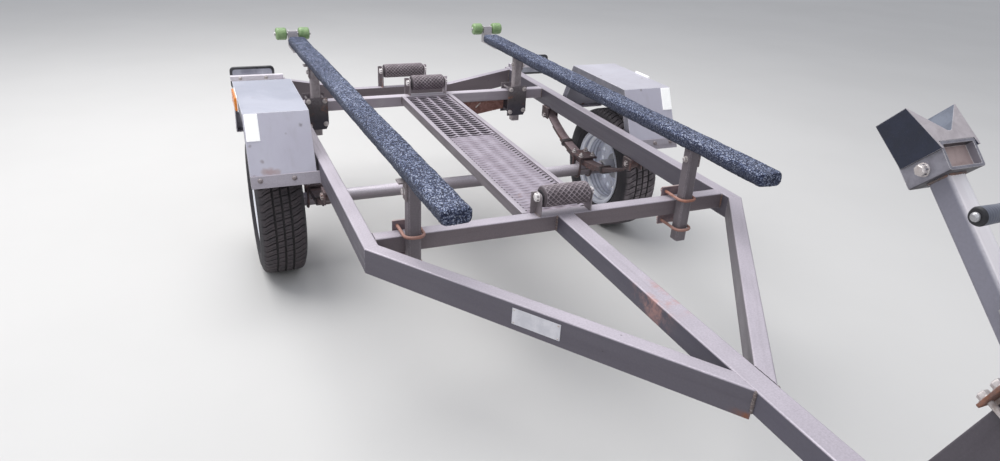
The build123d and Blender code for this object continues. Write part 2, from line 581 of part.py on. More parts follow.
# box bracket at the arm's upper end, open forward and backward
BOX_HALF, BOX_LOW, BOX_HIGH, BOX_WALL = 38.0, 7.0, 53.0, 5.0
BOX_FRONT, BOX_BACK = 44.0, -37.5
with BuildPart() as bow_bracket:
    with BuildSketch(Plane(origin=arm_pt(0, BOX_BACK, (BOX_LOW + BOX_HIGH) / 2), x_dir=(1, 0, 0),
                           z_dir=N)) as box_end:
        RectangleRounded(2 * BOX_HALF, BOX_HIGH - BOX_LOW, 4)
        RectangleRounded(2 * (BOX_HALF - BOX_WALL), BOX_HIGH - BOX_LOW - 2 * BOX_WALL, 2,
                         mode=Mode.SUBTRACT)
    extrude(box_end.sketch, amount=BOX_FRONT - BOX_BACK)
    cut_away(MOUTH_LOW, MOUTH_TOP, MOUTH_LOW + Vector(10, 0, 0), arm_pt(0, 0, 30))
    with BuildSketch(Plane(origin=arm_pt(0, 0, 0), x_dir=(1, 0, 0), z_dir=A)) as arm_hole:
        Rectangle(ARM_SQ + 0.4, ARM_SQ + 0.4)
    extrude(arm_hole.sketch, amount=BOX_LOW + BOX_WALL + 0.2, mode=Mode.SUBTRACT)
    # packing block in the box, set back from its mouth, over the arm's end
    with BuildSketch(Plane(origin=arm_pt(0, -33, (BOX_LOW + BOX_HIGH) / 2), x_dir=(1, 0, 0),
                           z_dir=N)) as packing:
        Rectangle(2 * (BOX_HALF - BOX_WALL), BOX_HIGH - BOX_LOW - 2 * BOX_WALL)
    extrude(packing.sketch, amount=59)
    # the clamping bolt through both sides
    bolt_n, bolt_a = -1.0, 25.5
    rod(arm_pt(-BOX_HALF - 8, bolt_n, bolt_a), arm_pt(BOX_HALF + 8, bolt_n, bolt_a), 5)
    for e in (-1, 1):
        hex_nut(tuple(arm_pt(e * (BOX_HALF + 4), bolt_n, bolt_a)), (1, 0, 0), 17, 8)
save(bow_bracket, "bow_stop_bracket")

# rubber V block over the box: (x, a) outline
V_BLOCK = ((-41.5, 41), (-54, 118), (-52, 117.6), (-5, 71.5), (0, 70), (5, 71.5), (52, 117.6),
           (54, 118), (41.5, 41), (38.3, 41), (38.3, 53.3), (-38.3, 53.3), (-38.3, 41))
with BuildPart() as bow_block:
    with BuildSketch(Plane(origin=arm_pt(0, -34, 0), x_dir=(1, 0, 0), z_dir=N)) as v_face:
        with BuildLine() as v_edge:
            Polyline(*V_BLOCK, close=True)
        make_face(v_edge.line)
    extrude(v_face.sketch, amount=80)
    cut_away(STOP_LOW, STOP_TOP, STOP_LOW + Vector(10, 0, 0), arm_pt(0, 0, 60))
save(bow_block, "bow_stop_block")

# ---------------------------------------------------------------- hand winch
DRUM_N, DRUM_A = 75.0, -270.0
drum_c = arm_pt(0, DRUM_N, DRUM_A)
CHEEK_X, CHEEK_T = 40.0, 4.0
# winch cheek outline in arm (a, n) coordinates
CHEEK = ((-365, 20.4), (-365, 40), (-318, 112), (-222, 112), (-200, 40), (-200, 20.4))
with BuildPart() as winch_frame:
    for e in (-1, 1):
        x = e * CHEEK_X if e > 0 else -CHEEK_X - CHEEK_T
        pts = [arm_pt(x, n, a) for a, n in CHEEK]
        extrude(side_profile(x, [(p.Y, p.Z) for p in pts]), amount=CHEEK_T)
    base = [arm_pt(0, n, a) for a, n in ((-365, 20.4), (-365, 25.4), (-200, 25.4), (-200, 20.4))]
    extrude(side_profile(-CHEEK_X - CHEEK_T, [(p.Y, p.Z) for p in base]),
            amount=2 * (CHEEK_X + CHEEK_T))
    for a, n in ((-325.0, 96.0), (-216.0, 92.0)):
        rod(arm_pt(-CHEEK_X - 1, n, a), arm_pt(CHEEK_X + 1, n, a), 6)
    with BuildSketch(Plane(origin=drum_c - Vector(60, 0, 0), x_dir=(0, 1, 0),
                           z_dir=(1, 0, 0))) as shaft_hole:
        Circle(9.06)
    extrude(shaft_hole.sketch, amount=120, mode=Mode.SUBTRACT)
save(winch_frame, "winch_frame")

with BuildPart() as drum:
    turned((0, drum_c.Y, drum_c.Z), 1.0,
           ((-33, 0), (-33, 44), (-30, 44), (-30, 18), (30, 18), (30, 44), (33, 44), (33, 0)))
    rod((-58, drum_c.Y, drum_c.Z), (52, drum_c.Y, drum_c.Z), 9.0)
save(drum, "winch_drum")

GRIP_C = Vector(0, -1330, 1165)
crank_v = GRIP_C - Vector(0, drum_c.Y, drum_c.Z)
crank_n = Vector(0, -crank_v.Z, crank_v.Y).normalized()
CRANK_X = -64.0
with BuildPart() as crank:
    rod((CRANK_X - 4, drum_c.Y, drum_c.Z), (-58, drum_c.Y, drum_c.Z), 17)
    c0 = Vector(0, drum_c.Y, drum_c.Z)
    bar = [c0 + crank_n * 13, c0 - crank_n * 13, GRIP_C - crank_n * 11, GRIP_C + crank_n * 11]
    extrude(side_profile(CRANK_X - 4, [(p.Y, p.Z) for p in bar]), amount=6)
    rod((CRANK_X - 4, GRIP_C.Y, GRIP_C.Z), (CRANK_X + 2, GRIP_C.Y, GRIP_C.Z), 12)
    rod((-160, GRIP_C.Y, GRIP_C.Z), (CRANK_X, GRIP_C.Y, GRIP_C.Z), 6)
    # riveted end of the grip's pin
    turned((0, GRIP_C.Y, GRIP_C.Z), 1.0,
           ((-164.5, 0), (-164, 3.5), (-162.5, 5.8), (-160.5, 6.5), (-159, 6.5), (-159, 0)))
save(crank, "winch_crank")

with BuildPart() as grip:
    turned((0, GRIP_C.Y, GRIP_C.Z), 1.0,
           ((-158.5, 6.3), (-158.5, 11), (-154, 13), (-118, 12.2), (-80, 13), (-74, 12),
            (-74, 6.3)))
save(grip, "winch_grip")

# ---------------------------------------------------------------- coupler
BALL_R = 25.0
BALL_Y = -1911.0
SOCKET_LOW = 514.0
with BuildPart() as coupler:
    # nose round the ball
    rod((0, BALL_Y, SOCKET_LOW), (0, BALL_Y, SOCKET_LOW + 36), 39)
    with BuildSketch(Plane(origin=(0, BALL_Y, SOCKET_LOW + 36), x_dir=(1, 0, 0),
                           z_dir=(0, -1, 0))) as dome:
        with BuildLine() as dome_edge:
            Line((0, 0), (39, 0))
            ThreePointArc((39, 0), (39 * H, 39 * H * 0.82), (0, 32))
            Line((0, 32), (0, 0))
        make_face(dome_edge.line)
    revolve(dome.sketch, axis=Axis((0, BALL_Y, 0), (0, 0, 1)))
    # body tapering back over the drawbar
    with BuildSketch(Plane(origin=(0, BALL_Y, SOCKET_LOW + 2), z_dir=(0, 0, 1))) as body:
        with BuildLine() as body_edge:
            Polyline((-36, 0), (-35, 72), (-35, 172), (35, 172), (35, 72), (36, 0), close=True)
        make_face(body_edge.line)
    extrude(body.sketch, amount=67)
    # room for the drawbar inside the body
    block(-30.1, 30.1, DRAWBAR_FRONT_Y - 0.3, BALL_Y + 180, SOCKET_LOW - 5, FRAME_TOP + 0.3,
          mode=Mode.SUBTRACT)
    # ball socket
    with BuildSketch(Plane(origin=(0, BALL_Y, SOCKET_LOW), z_dir=(0, 0, 1))) as socket:
        Circle(BALL_R + 0.3)
    extrude(socket.sketch, amount=26, mode=Mode.SUBTRACT)
    with BuildSketch(Plane(origin=(0, BALL_Y, SOCKET_LOW + 26), x_dir=(1, 0, 0),
                           z_dir=(0, -1, 0))) as cup:
        with BuildLine() as cup_edge:
            Line((0, -1), (BALL_R + 0.3, -1))
            Line((BALL_R + 0.3, -1), (BALL_R + 0.3, 0))
            ThreePointArc((BALL_R + 0.3, 0), ((BALL_R + 0.3) * H, (BALL_R + 0.3) * H),
                          (0, BALL_R + 0.3))
            Line((0, BALL_R + 0.3), (0, -1))
        make_face(cup_edge.line)
    revolve(cup.sketch, axis=Axis((0, BALL_Y, 0), (0, 0, 1)), mode=Mode.SUBTRACT)
    for y in (-1812.0, -1762.0):
        rod((-46, y, 546), (-30.2, y, 546), 6)
        rod((30.2, y, 546), (46, y, 546), 6)
        for e in (-1, 1):
            hex_nut((e * 39.5, y, 546), (1, 0, 0), 19, 9)
save(coupler, "coupler")

with BuildPart() as lever:
    lever_side = [(-1905, 583.2), (-1905, 594), (-1868, 612), (-1772, 632), (-1766, 626),
                  (-1850, 600), (-1862, 583.2)]
    extrude(side_profile(-17, lever_side), amount=34)
save(lever, "coupler_lever")

# ---------------------------------------------------------------- jockey wheel stand
JACK_X, JACK_Y = -62.0, -1650.0
JACK_R, JACK_BORE, INNER_R = 24.0, 21.06, 21.0
JACK_LOW, JACK_HIGH = 385.0, 800.0
INNER_LOW, INNER_HIGH = 235.0, 610.0
with BuildPart() as jack_clamp:
    with BuildSketch(Plane(origin=(JACK_X, JACK_Y, 518))) as ring:
        Circle(JACK_R + 6)
        Circle(JACK_R + 0.05, mode=Mode.SUBTRACT)
    extrude(ring.sketch, amount=56)
    with BuildSketch(Plane(origin=(-34.0, JACK_Y, 518))) as seat:
        Rectangle(8 - 0.2, 90)
    extrude(seat.sketch, amount=56)
    with BuildSketch(Plane(origin=(JACK_X, JACK_Y, 518))) as clear:
        Circle(JACK_R + 0.05)
    extrude(clear.sketch, amount=56, mode=Mode.SUBTRACT)
    # clamp screw with its tommy bar
    rod((JACK_X - JACK_R - 3, JACK_Y, 546), (JACK_X - JACK_R - 40, JACK_Y, 546), 7)
    rod((JACK_X - JACK_R - 34, JACK_Y - 45, 546), (JACK_X - JACK_R - 34, JACK_Y + 45, 546), 5)
save(jack_clamp, "jack_clamp")

with BuildPart() as jack_tube:
    with BuildSketch(Plane(origin=(JACK_X, JACK_Y, JACK_LOW))) as outer:
        Circle(JACK_R)
        Circle(JACK_BORE, mode=Mode.SUBTRACT)
    extrude(outer.sketch, amount=JACK_HIGH - JACK_LOW)
    with BuildSketch(Plane(origin=(JACK_X, JACK_Y, JACK_HIGH))) as cap:
        Circle(27)
    extrude(cap.sketch, amount=14)
save(jack_tube, "jack_outer_tube")

with BuildPart() as jack_crank:
    rod((JACK_X, JACK_Y, JACK_HIGH + 14.2), (JACK_X, JACK_Y, JACK_HIGH + 38), 9)
    block(JACK_X - 9, JACK_X + 9, JACK_Y - 128, JACK_Y + 9, JACK_HIGH + 32, JACK_HIGH + 38)
    rod((JACK_X, JACK_Y - 118, JACK_HIGH + 35), (JACK_X, JACK_Y - 118, JACK_HIGH + 112), 10)
save(jack_crank, "jack_crank")

with BuildPart() as jack_inner:
    with BuildSketch(Plane(origin=(JACK_X, JACK_Y, INNER_LOW))) as inner:
        Circle(INNER_R)
        Circle(INNER_R - 3, mode=Mode.SUBTRACT)
    extrude(inner.sketch, amount=INNER_HIGH - INNER_LOW)
    with BuildSketch(Plane(origin=(JACK_X, JACK_Y, INNER_LOW))) as plug:
        Circle(INNER_R - 1)
        Circle(10.06, mode=Mode.SUBTRACT)
    extrude(plug.sketch, amount=40)
save(jack_inner, "jack_inner_tube")

CASTER_R, CASTER_HALF, CASTER_TRAIL = 100.0, 25.0, 38.0
FORK_IN, FORK_T = 31.0, 4.0
wheel_y = JACK_Y + CASTER_TRAIL
with BuildPart() as fork:
    rod((JACK_X, JACK_Y, 224), (JACK_X, JACK_Y, 268), 10)
    block(JACK_X - FORK_IN - FORK_T, JACK_X + FORK_IN + FORK_T, JACK_Y - 26, JACK_Y + 34, 226, 231)
    for e in (-1, 1):
        x = JACK_X + e * FORK_IN if e > 0 else JACK_X - FORK_IN - FORK_T
        leg = [(JACK_Y - 26, 231), (JACK_Y + 34, 231), (wheel_y + 17, 96), (wheel_y + 8, 84),
               (wheel_y - 8, 84), (wheel_y - 17, 96)]
        extrude(side_profile(x, leg), amount=FORK_T)
        hex_nut((JACK_X + e * (FORK_IN + FORK_T + 5), wheel_y, CASTER_R), (1, 0, 0), 20, 10)
    rod((JACK_X - FORK_IN - 12, wheel_y, CASTER_R), (JACK_X + FORK_IN + 12, wheel_y, CASTER_R), 8)
save(fork, "caster_fork")

with BuildPart() as caster:
    turned((JACK_X, wheel_y, CASTER_R), 1.0,
           ((-26, 8.06), (-26, 20), (-14, 24), (-12, 62), (-21, 72), (-25, 84), (-20, 96),
            (-10, 100), (10, 100), (20, 96), (25, 84), (21, 72), (12, 62), (14, 24), (26, 20),
            (26, 8.06)))
save(caster, "jockey_wheel")
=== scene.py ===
import bpy
import math
import numpy as np
from mathutils import Matrix, Vector


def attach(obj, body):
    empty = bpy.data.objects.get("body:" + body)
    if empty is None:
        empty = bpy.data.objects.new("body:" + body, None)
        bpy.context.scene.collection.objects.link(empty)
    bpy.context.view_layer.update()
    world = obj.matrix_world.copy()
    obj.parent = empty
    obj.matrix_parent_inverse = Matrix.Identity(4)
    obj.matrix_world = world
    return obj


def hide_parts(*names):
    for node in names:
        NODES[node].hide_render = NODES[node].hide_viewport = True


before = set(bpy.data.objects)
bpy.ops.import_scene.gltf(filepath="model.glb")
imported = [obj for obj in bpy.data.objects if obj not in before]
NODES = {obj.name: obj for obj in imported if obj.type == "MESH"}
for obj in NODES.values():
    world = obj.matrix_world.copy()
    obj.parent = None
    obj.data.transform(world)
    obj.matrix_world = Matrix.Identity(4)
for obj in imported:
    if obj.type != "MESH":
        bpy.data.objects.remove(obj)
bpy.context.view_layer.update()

scene = bpy.context.scene
PI = math.pi
H = math.sqrt(0.5)


# ------------------------------------------------------------------ shader helpers
class G:
    """A small builder of one procedural material around a Principled shader."""

    def __init__(self, name):
        self.m = bpy.data.materials.new(name)
        self.m.use_nodes = True
        self.t = self.m.node_tree
        self.t.nodes.clear()
        out = self.t.nodes.new("ShaderNodeOutputMaterial")
        self.b = self.t.nodes.new("ShaderNodeBsdfPrincipled")
        self.t.links.new(self.b.outputs[0], out.inputs[0])
        self.co = self.t.nodes.new("ShaderNodeTexCoord").outputs["Object"]
        self.geo = self.t.nodes.new("ShaderNodeNewGeometry")

    def put(self, sock, val):
        if isinstance(val, bpy.types.NodeSocket):
            self.t.links.new(val, sock)
        elif val is not None:
            if sock.type == "RGBA" and len(val) == 3:
                val = (*val, 1.0)
            sock.default_value = val

    def new(self, kind, **props):
        n = self.t.nodes.new(kind)
        for k, v in props.items():
            setattr(n, k, v)
        return n

    def noise(self, scale, detail=4.0, rough=0.55, vec=None, dist=0.0):
        n = self.new("ShaderNodeTexNoise")
        self.put(n.inputs["Vector"], vec or self.co)
        self.put(n.inputs["Scale"], scale)
        self.put(n.inputs["Detail"], detail)
        self.put(n.inputs["Roughness"], rough)
        self.put(n.inputs["Distortion"], dist)
        return n.outputs[0]

    def noise_colour(self, scale, detail=2.0, vec=None):
        n = self.new("ShaderNodeTexNoise")
        self.put(n.inputs["Vector"], vec or self.co)
        self.put(n.inputs["Scale"], scale)
        self.put(n.inputs["Detail"], detail)
        return n.outputs[1]

    def voro(self, scale, vec=None, feature="F1", rand=1.0):
        n = self.new("ShaderNodeTexVoronoi", feature=feature)
        self.put(n.inputs["Vector"], vec or self.co)
        self.put(n.inputs["Scale"], scale)
        self.put(n.inputs["Randomness"], rand)
        return n

    def mapped(self, scale=(1, 1, 1), rot=(0, 0, 0), loc=(0, 0, 0), vec=None):
        n = self.new("ShaderNodeMapping")
        self.put(n.inputs["Vector"], vec or self.co)
        n.inputs["Scale"].default_value = scale
        n.inputs["Rotation"].default_value = rot
        n.inputs["Location"].default_value = loc
        return n.outputs[0]

    def rng(self, v, a, b, c=0.0, d=1.0):
        n = self.new("ShaderNodeMapRange", interpolation_type="SMOOTHSTEP")
        for k, x in enumerate((v, a, b, c, d)):
            self.put(n.inputs[k], x)
        return n.outputs[0]

    def math(self, op, a, b=None, c=None, clamp=False):
        n = self.new("ShaderNodeMath", operation=op, use_clamp=clamp)
        for k, x in enumerate((a, b, c)):
            self.put(n.inputs[k], x)
        return n.outputs[0]

    def vmath(self, op, a, b=None):
        n = self.new("ShaderNodeVectorMath", operation=op)
        self.put(n.inputs[0], a)
        self.put(n.inputs[1], b)
        return n

    def mix(self, f, a, b, mode="MIX"):
        n = self.new("ShaderNodeMix", data_type="RGBA", blend_type=mode)
        self.put(n.inputs[0], f)
        self.put(n.inputs[6], a)
        self.put(n.inputs[7], b)
        return n.outputs[2]

    def ramp(self, f, stops, mode="LINEAR"):
        n = self.new("ShaderNodeValToRGB")
        n.color_ramp.interpolation = mode
        e = n.color_ramp.elements
        while len(e) < len(stops):
            e.new(0.5)
        for k, (p, c) in enumerate(stops):
            e[k].position = p
            e[k].color = (*c, 1.0) if len(c) == 3 else c
        self.put(n.inputs[0], f)
        return n.outputs[0]

    def xyz(self, vec):
        n = self.new("ShaderNodeSeparateXYZ")
        self.put(n.inputs[0], vec)
        return n.outputs

    def nrm(self):
        return self.xyz(self.geo.outputs["Normal"])

    def bump(self, height, dist, strength=1.0, normal=None):
        n = self.new("ShaderNodeBump")
        self.put(n.inputs["Height"], height)
        self.put(n.inputs["Distance"], dist)
        self.put(n.inputs["Strength"], strength)
        if normal is not None:
            self.put(n.inputs["Normal"], normal)
        return n.outputs[0]

    def edge(self, radius, lo=0.004, hi=0.09):
        """(mask of edges, used for wear and for painted highlights; softened normal)"""
        n = self.new("ShaderNodeBevel", samples=4)
        n.inputs["Radius"].default_value = radius
        d = self.vmath("DOT_PRODUCT", n.outputs[0], self.geo.outputs["Normal"]).outputs["Value"]
        return self.rng(self.math("SUBTRACT", 1.0, d), lo, hi), n.outputs[0]

    def radius(self, axis, y, z, x=0.0):
        """Distance from an axis along X (through y, z), or along Z (through x, y)."""
        v = self.vmath("SUBTRACT", self.co, (x, y, z)).outputs[0]
        keep = (0.0, 1.0, 1.0) if axis == "X" else (1.0, 1.0, 0.0)
        v = self.vmath("MULTIPLY", v, keep).outputs[0]
        return self.vmath("LENGTH", v).outputs["Value"]

    def set(self, colour=None, rough=None, metal=None, normal=None, **more):
        names = {"colour": "Base Color", "rough": "Roughness", "metal": "Metallic",
                 "normal": "Normal"}
        for k, v in (("colour", colour), ("rough", rough), ("metal", metal), ("normal", normal)):
            if v is not None:
                self.put(self.b.inputs[names[k]], v)
        for k, v in more.items():
            self.put(self.b.inputs[k.replace("_", " ")], v)
        return self.m


RUST = (0.150, 0.066, 0.040)
RUST_LIGHT = (0.36, 0.155, 0.075)


def metal(name, top, side, dark, rust=0.66, rust_soft=0.10, metallic=0.25, rough=(0.42, 0.66),
          streak=(1, 1, 1), turn=0.0, tilt=0.0, grain=0.00012, edge=0.0022, edge_colour=None,
          rust_colour=RUST, low_rust=None, speck=0.25, run=0.34, cloudy=0.20, also=None):
    """Weathered sheet or tube steel: painted light on top faces and painted shade on the sides, runs
    on the sides, rust in places.
    """
    g = G(name)
    nx, ny, nz = g.nrm()
    # top and side tones are lit and shaded copies of one finish: painted light and painted shade
    up = g.rng(nz, 0.10, 0.92)
    col = g.mix(up, side, top)
    lined = g.mapped(scale=streak, vec=g.mapped(rot=(tilt, 0, turn)))
    runs = g.noise(42, 6, 0.62, vec=lined, dist=0.12)
    col = g.mix(g.rng(runs, 0.47, 0.78, 0, run), col, dark)
    cloud = g.noise(5.5, 5, 0.6, dist=0.6)
    light = g.mix(up, tuple(c * 1.3 + 0.01 for c in side), tuple(min(1.0, c * 1.25) for c in top))
    col = g.mix(g.rng(cloud, 0.42, 0.70, 0, cloudy), col, light)
    # fine mottling and small dark pits
    mott = g.noise(210, 4, 0.65)
    col = g.mix(g.rng(mott, 0.35, 0.65, 0.16, 0.0), col, dark)
    pv = g.voro(26)
    pit = g.math("MULTIPLY", g.rng(pv.outputs["Distance"], 0.035, 0.075, 1, 0),
                 g.rng(g.xyz(pv.outputs["Color"])[0], 0.80, 0.84))
    col = g.mix(g.math("MULTIPLY", pit, 0.65), col, dark)
    spots = g.noise(150, 3, 0.7)
    col = g.mix(g.rng(spots, 0.62, 0.78, 0, speck), col, dark)
    edge_mask, soft = g.edge(edge)
    # edges lightened toward ec: worn paint, and on the bow arm a painted bluish highlight
    ec = edge_colour or tuple(min(1.0, c * 1.45 + 0.03) for c in top)
    edge_wear_and_highlight = g.math("MULTIPLY", edge_mask, g.rng(g.noise(70, 4, 0.6), 0.30, 0.62))
    col = g.mix(g.math("MULTIPLY", edge_wear_and_highlight, 0.62), col, ec)
    r1 = g.noise(9, 9, 0.66, dist=0.8)
    r2 = g.noise(60, 6, 0.7)
    rm = g.math("ADD", g.math("MULTIPLY", r1, 0.72), g.math("MULTIPLY", r2, 0.28))
    mask = g.rng(rm, rust - rust_soft * 0.5, rust + rust_soft * 0.5)
    if low_rust:
        z = g.xyz(g.co)[2]
        lowness = g.rng(z, low_rust[0], low_rust[1], 0.16, 0.0)
        mask = g.rng(g.math("ADD", rm, lowness), rust - rust_soft * 0.5, rust + rust_soft * 0.5)
    rc = g.mix(g.rng(r2, 0.35, 0.7), rust_colour, tuple(min(1, c * 2.1) for c in rust_colour))
    col = g.mix(g.math("MULTIPLY", mask, 0.92), col, rc)
    fine = g.noise(900, 2, 0.5)
    if also:
        col = also(g, col)
    rgh = g.rng(g.math("ADD", g.math("MULTIPLY", cloud, 0.6), g.math("MULTIPLY", runs, 0.4)),
                0.35, 0.65, rough[0], rough[1])
    rgh = g.math("ADD", rgh, g.math("MULTIPLY", mask, 0.22), clamp=True)
    met = g.math("MULTIPLY", g.math("SUBTRACT", 1.0, mask), metallic)
    h = g.math("ADD", g.math("MULTIPLY", fine, 0.35),
               g.math("ADD", g.math("MULTIPLY", spots, 0.5), g.math("MULTIPLY", mask, 0.9)))
    return g.set(col, rgh, met, g.bump(h, grain * 3, 0.8, soft))


# ------------------------------------------------------------------ materials
# frame tones: FR_TOP is painted light on upward faces, FR_SIDE painted shade on the sides
FR_TOP, FR_SIDE, FR_DARK = (0.505, 0.465, 0.522), (0.118, 0.108, 0.134), (0.070, 0.058, 0.064)
arm_turn = math.atan2(0.584, 0.812)
M = {}


def open_end(g, col):
    """Rust inside the open lower ends of the drawbar arms."""
    x, y, z = g.xyz(g.co)
    near = g.math("MULTIPLY", g.rng(g.math("ABSOLUTE", x), 0.034, 0.062, 1, 0),
                  g.rng(z, 0.508, 0.520, 1, 0))
    n = g.noise(60, 6, 0.65)
    return g.mix(g.math("MULTIPLY", near, g.rng(n, 0.35, 0.6, 0.4, 0.95)), col, (0.23, 0.088, 0.045))


def blush(g, col):
    """Faint pink rust blush on top of the drawbar near the arms."""
    d = g.vmath("DISTANCE", g.co, (0.0, -0.560, 0.576)).outputs["Value"]
    f = g.math("MULTIPLY", g.rng(d, 0.02, 0.13, 1, 0), g.rng(g.noise(22, 7, 0.68), 0.42, 0.66))
    return g.mix(g.math("MULTIPLY", f, 0.75), col, (0.50, 0.27, 0.235))


M["frame_y"] = metal("frame_steel_lengthwise", FR_TOP, FR_SIDE, FR_DARK, streak=(1, 0.04, 1),
                     rust=0.74, run=0.34)
M["drawbar"] = metal("frame_steel_drawbar", FR_TOP, (0.098, 0.092, 0.122), FR_DARK,
                     streak=(1, 0.05, 1), rust=0.74, run=0.16, also=blush)
M["frame_x"] = metal("frame_steel_crosswise", FR_TOP, (0.180, 0.150, 0.164), FR_DARK,
                     streak=(0.05, 1, 1), rust=0.72, run=0.2)
def post_tone(g, col):
    """The rear posts are lighter and dustier than the front ones."""
    y = g.xyz(g.co)[1]
    n = g.noise(40, 6, 0.64)
    tone = g.mix(g.rng(n, 0.36, 0.68), (0.430, 0.385, 0.392), (0.300, 0.262, 0.270))
    return g.mix(g.rng(y, 1.20, 1.24, 0.0, 0.75), col, tone)


M["frame_post"] = metal("frame_steel_upright", (0.38, 0.34, 0.37), (0.178, 0.156, 0.172), FR_DARK,
                        streak=(1, 1, 0.06), rust=0.66, low_rust=(0.36, 0.46), run=0.4,
                        also=post_tone)
M["winch_post"] = metal("winch_post_steel", (0.34, 0.31, 0.34), (0.086, 0.076, 0.092),
                        (0.045, 0.036, 0.042), streak=(1, 1, 0.06), tilt=-0.36, rust=0.70, run=0.3,
                        edge_colour=(0.36, 0.33, 0.36))
def arm_front_painted_light(g, col):
    """Painted light on the bright front face of the bow stop's arm, which looks forward and up."""
    f = g.vmath("DOT_PRODUCT", g.geo.outputs["Normal"], (0.0, -H, H)).outputs["Value"]
    n = g.noise(24, 6, 0.62, vec=g.mapped(scale=(1, 0.1, 1), vec=g.mapped(rot=(-PI / 4, 0, 0))))
    tone = g.mix(g.rng(n, 0.36, 0.68), (0.97, 0.94, 0.965), (0.86, 0.815, 0.845))
    return g.mix(g.rng(f, 0.80, 0.97), col, tone)


# bow arm: painted light on its top, painted shade on its sides; its bluish edge_colour is a painted
# highlight on the rounded corners
M["bow_arm"] = metal("bow_arm_steel", (0.80, 0.765, 0.81), (0.222, 0.218, 0.266),
                     (0.15, 0.14, 0.165), streak=(1, 0.06, 1), tilt=-PI / 4, rust=0.76, run=0.12,
                     cloudy=0.1, rough=(0.36, 0.52), edge=0.004, edge_colour=(0.62, 0.68, 0.84),
                     metallic=0.12, also=arm_front_painted_light)
# the left arm's sides are lighter than the right arm's: painted light and shade from how each arm
# faces the light
M["arm_right"] = metal("frame_steel_right_arm", FR_TOP, (0.122, 0.112, 0.138), FR_DARK,
                       streak=(1, 0.05, 1), turn=-arm_turn, rust=0.74, run=0.16, also=open_end)
M["arm_left"] = metal("frame_steel_left_arm", FR_TOP, (0.185, 0.170, 0.190), FR_DARK,
                      streak=(1, 0.05, 1), turn=arm_turn, rust=0.74, run=0.16, also=open_end)
M["bracket"] = metal("bracket_steel", (0.34, 0.305, 0.315), (0.215, 0.182, 0.190),
                     (0.09, 0.07, 0.065), rust=0.60, rust_soft=0.14)


def cheek_painted_light(g, col):
    """Painted light on the cheeks at the left ends of the middle and rear rollers."""
    x, y, z = g.xyz(g.co)
    n = g.noise(40, 6, 0.64)
    f = g.math("MULTIPLY", g.rng(x, 0.070, 0.080), g.rng(y, 1.40, 1.42))
    return g.mix(g.math("MULTIPLY", f, 0.85), col,
                 g.mix(g.rng(n, 0.36, 0.66), (0.66, 0.60, 0.64), (0.47, 0.41, 0.43)))


M["keel_bracket"] = metal("keel_bracket_steel", (0.40, 0.365, 0.385), (0.250, 0.218, 0.232),
                          (0.09, 0.07, 0.065), rust=0.64, rust_soft=0.14, also=cheek_painted_light)
M["walk"] = metal("walkway_side_steel", (0.47, 0.43, 0.48), (0.215, 0.190, 0.210), FR_DARK,
                  streak=(1, 0.05, 1), rust=0.70, run=0.3)
M["lamp_bar"] = metal("lamp_bar_steel", (0.84, 0.80, 0.86), (0.76, 0.72, 0.78),
                      (0.22, 0.19, 0.20), streak=(0.05, 1, 1), rust=0.72, run=0.25)
def beam_underside_shade(g, col):
    """Painted shade on the lower half of the round beam."""
    return g.mix(g.rng(g.nrm()[2], -0.35, 0.55, 0.70, 0.0), col, (0.150, 0.132, 0.142))


M["axle"] = metal("axle_steel", (0.76, 0.71, 0.775), (0.42, 0.375, 0.41), (0.07, 0.055, 0.058),
                  streak=(0.05, 1, 1), rust=0.68, rust_soft=0.14, run=0.3, also=beam_underside_shade)


def spring_tone(g, col):
    """Light pinkish wear on top of the rear half of the main leaf."""
    x, y, z = g.xyz(g.co)
    nz = g.nrm()[2]
    f = g.math("MULTIPLY", g.rng(nz, 0.35, 0.75), g.rng(y, 1.055, 1.075))
    n = g.noise(34, 6, 0.64)
    tone = g.mix(g.rng(n, 0.36, 0.68), (0.40, 0.310, 0.325), (0.270, 0.196, 0.204))
    return g.mix(g.math("MULTIPLY", f, 0.9), col, tone)


def clamp_tone(g, col):
    """Dark plate with grey nuts behind the orange rods of the front clamps."""
    x, y, z = g.xyz(g.co)
    n = g.noise(46, 6, 0.64)
    plate = g.mix(g.rng(n, 0.36, 0.68), (0.160, 0.124, 0.142), (0.245, 0.175, 0.180))
    lip = g.math("MAXIMUM", g.rng(z, 0.6035, 0.6050), g.rng(z, 0.4690, 0.4675))
    plate = g.mix(g.math("MULTIPLY", lip, 0.8), plate, (0.66, 0.54, 0.52))
    f = g.math("MULTIPLY", g.rng(y, 0.0256, 0.0261), g.rng(y, 0.0324, 0.0327, 1, 0))
    return g.mix(f, col, plate)


def head_tone(g, col):
    """Light bolt heads on the dark plates of the rear clamps."""
    y = g.xyz(g.co)[1]
    n = g.noise(90, 5, 0.6)
    f = g.math("MAXIMUM", g.rng(y, 1.4077, 1.4073), g.rng(y, 1.5053, 1.5057))
    # lighter upper part of the plates, painted bluish shade below
    z = g.xyz(g.co)[2]
    col = g.mix(g.math("MULTIPLY", g.rng(z, 0.535, 0.600), 0.75), col,
                g.mix(g.rng(n, 0.36, 0.66), (0.225, 0.200, 0.215), (0.150, 0.128, 0.138)))
    col = g.mix(g.math("MULTIPLY", g.rng(z, 0.540, 0.490), 0.6), col, (0.046, 0.044, 0.066))
    return g.mix(f, col, g.mix(g.rng(n, 0.36, 0.66), (0.56, 0.52, 0.51), (0.33, 0.26, 0.235)))


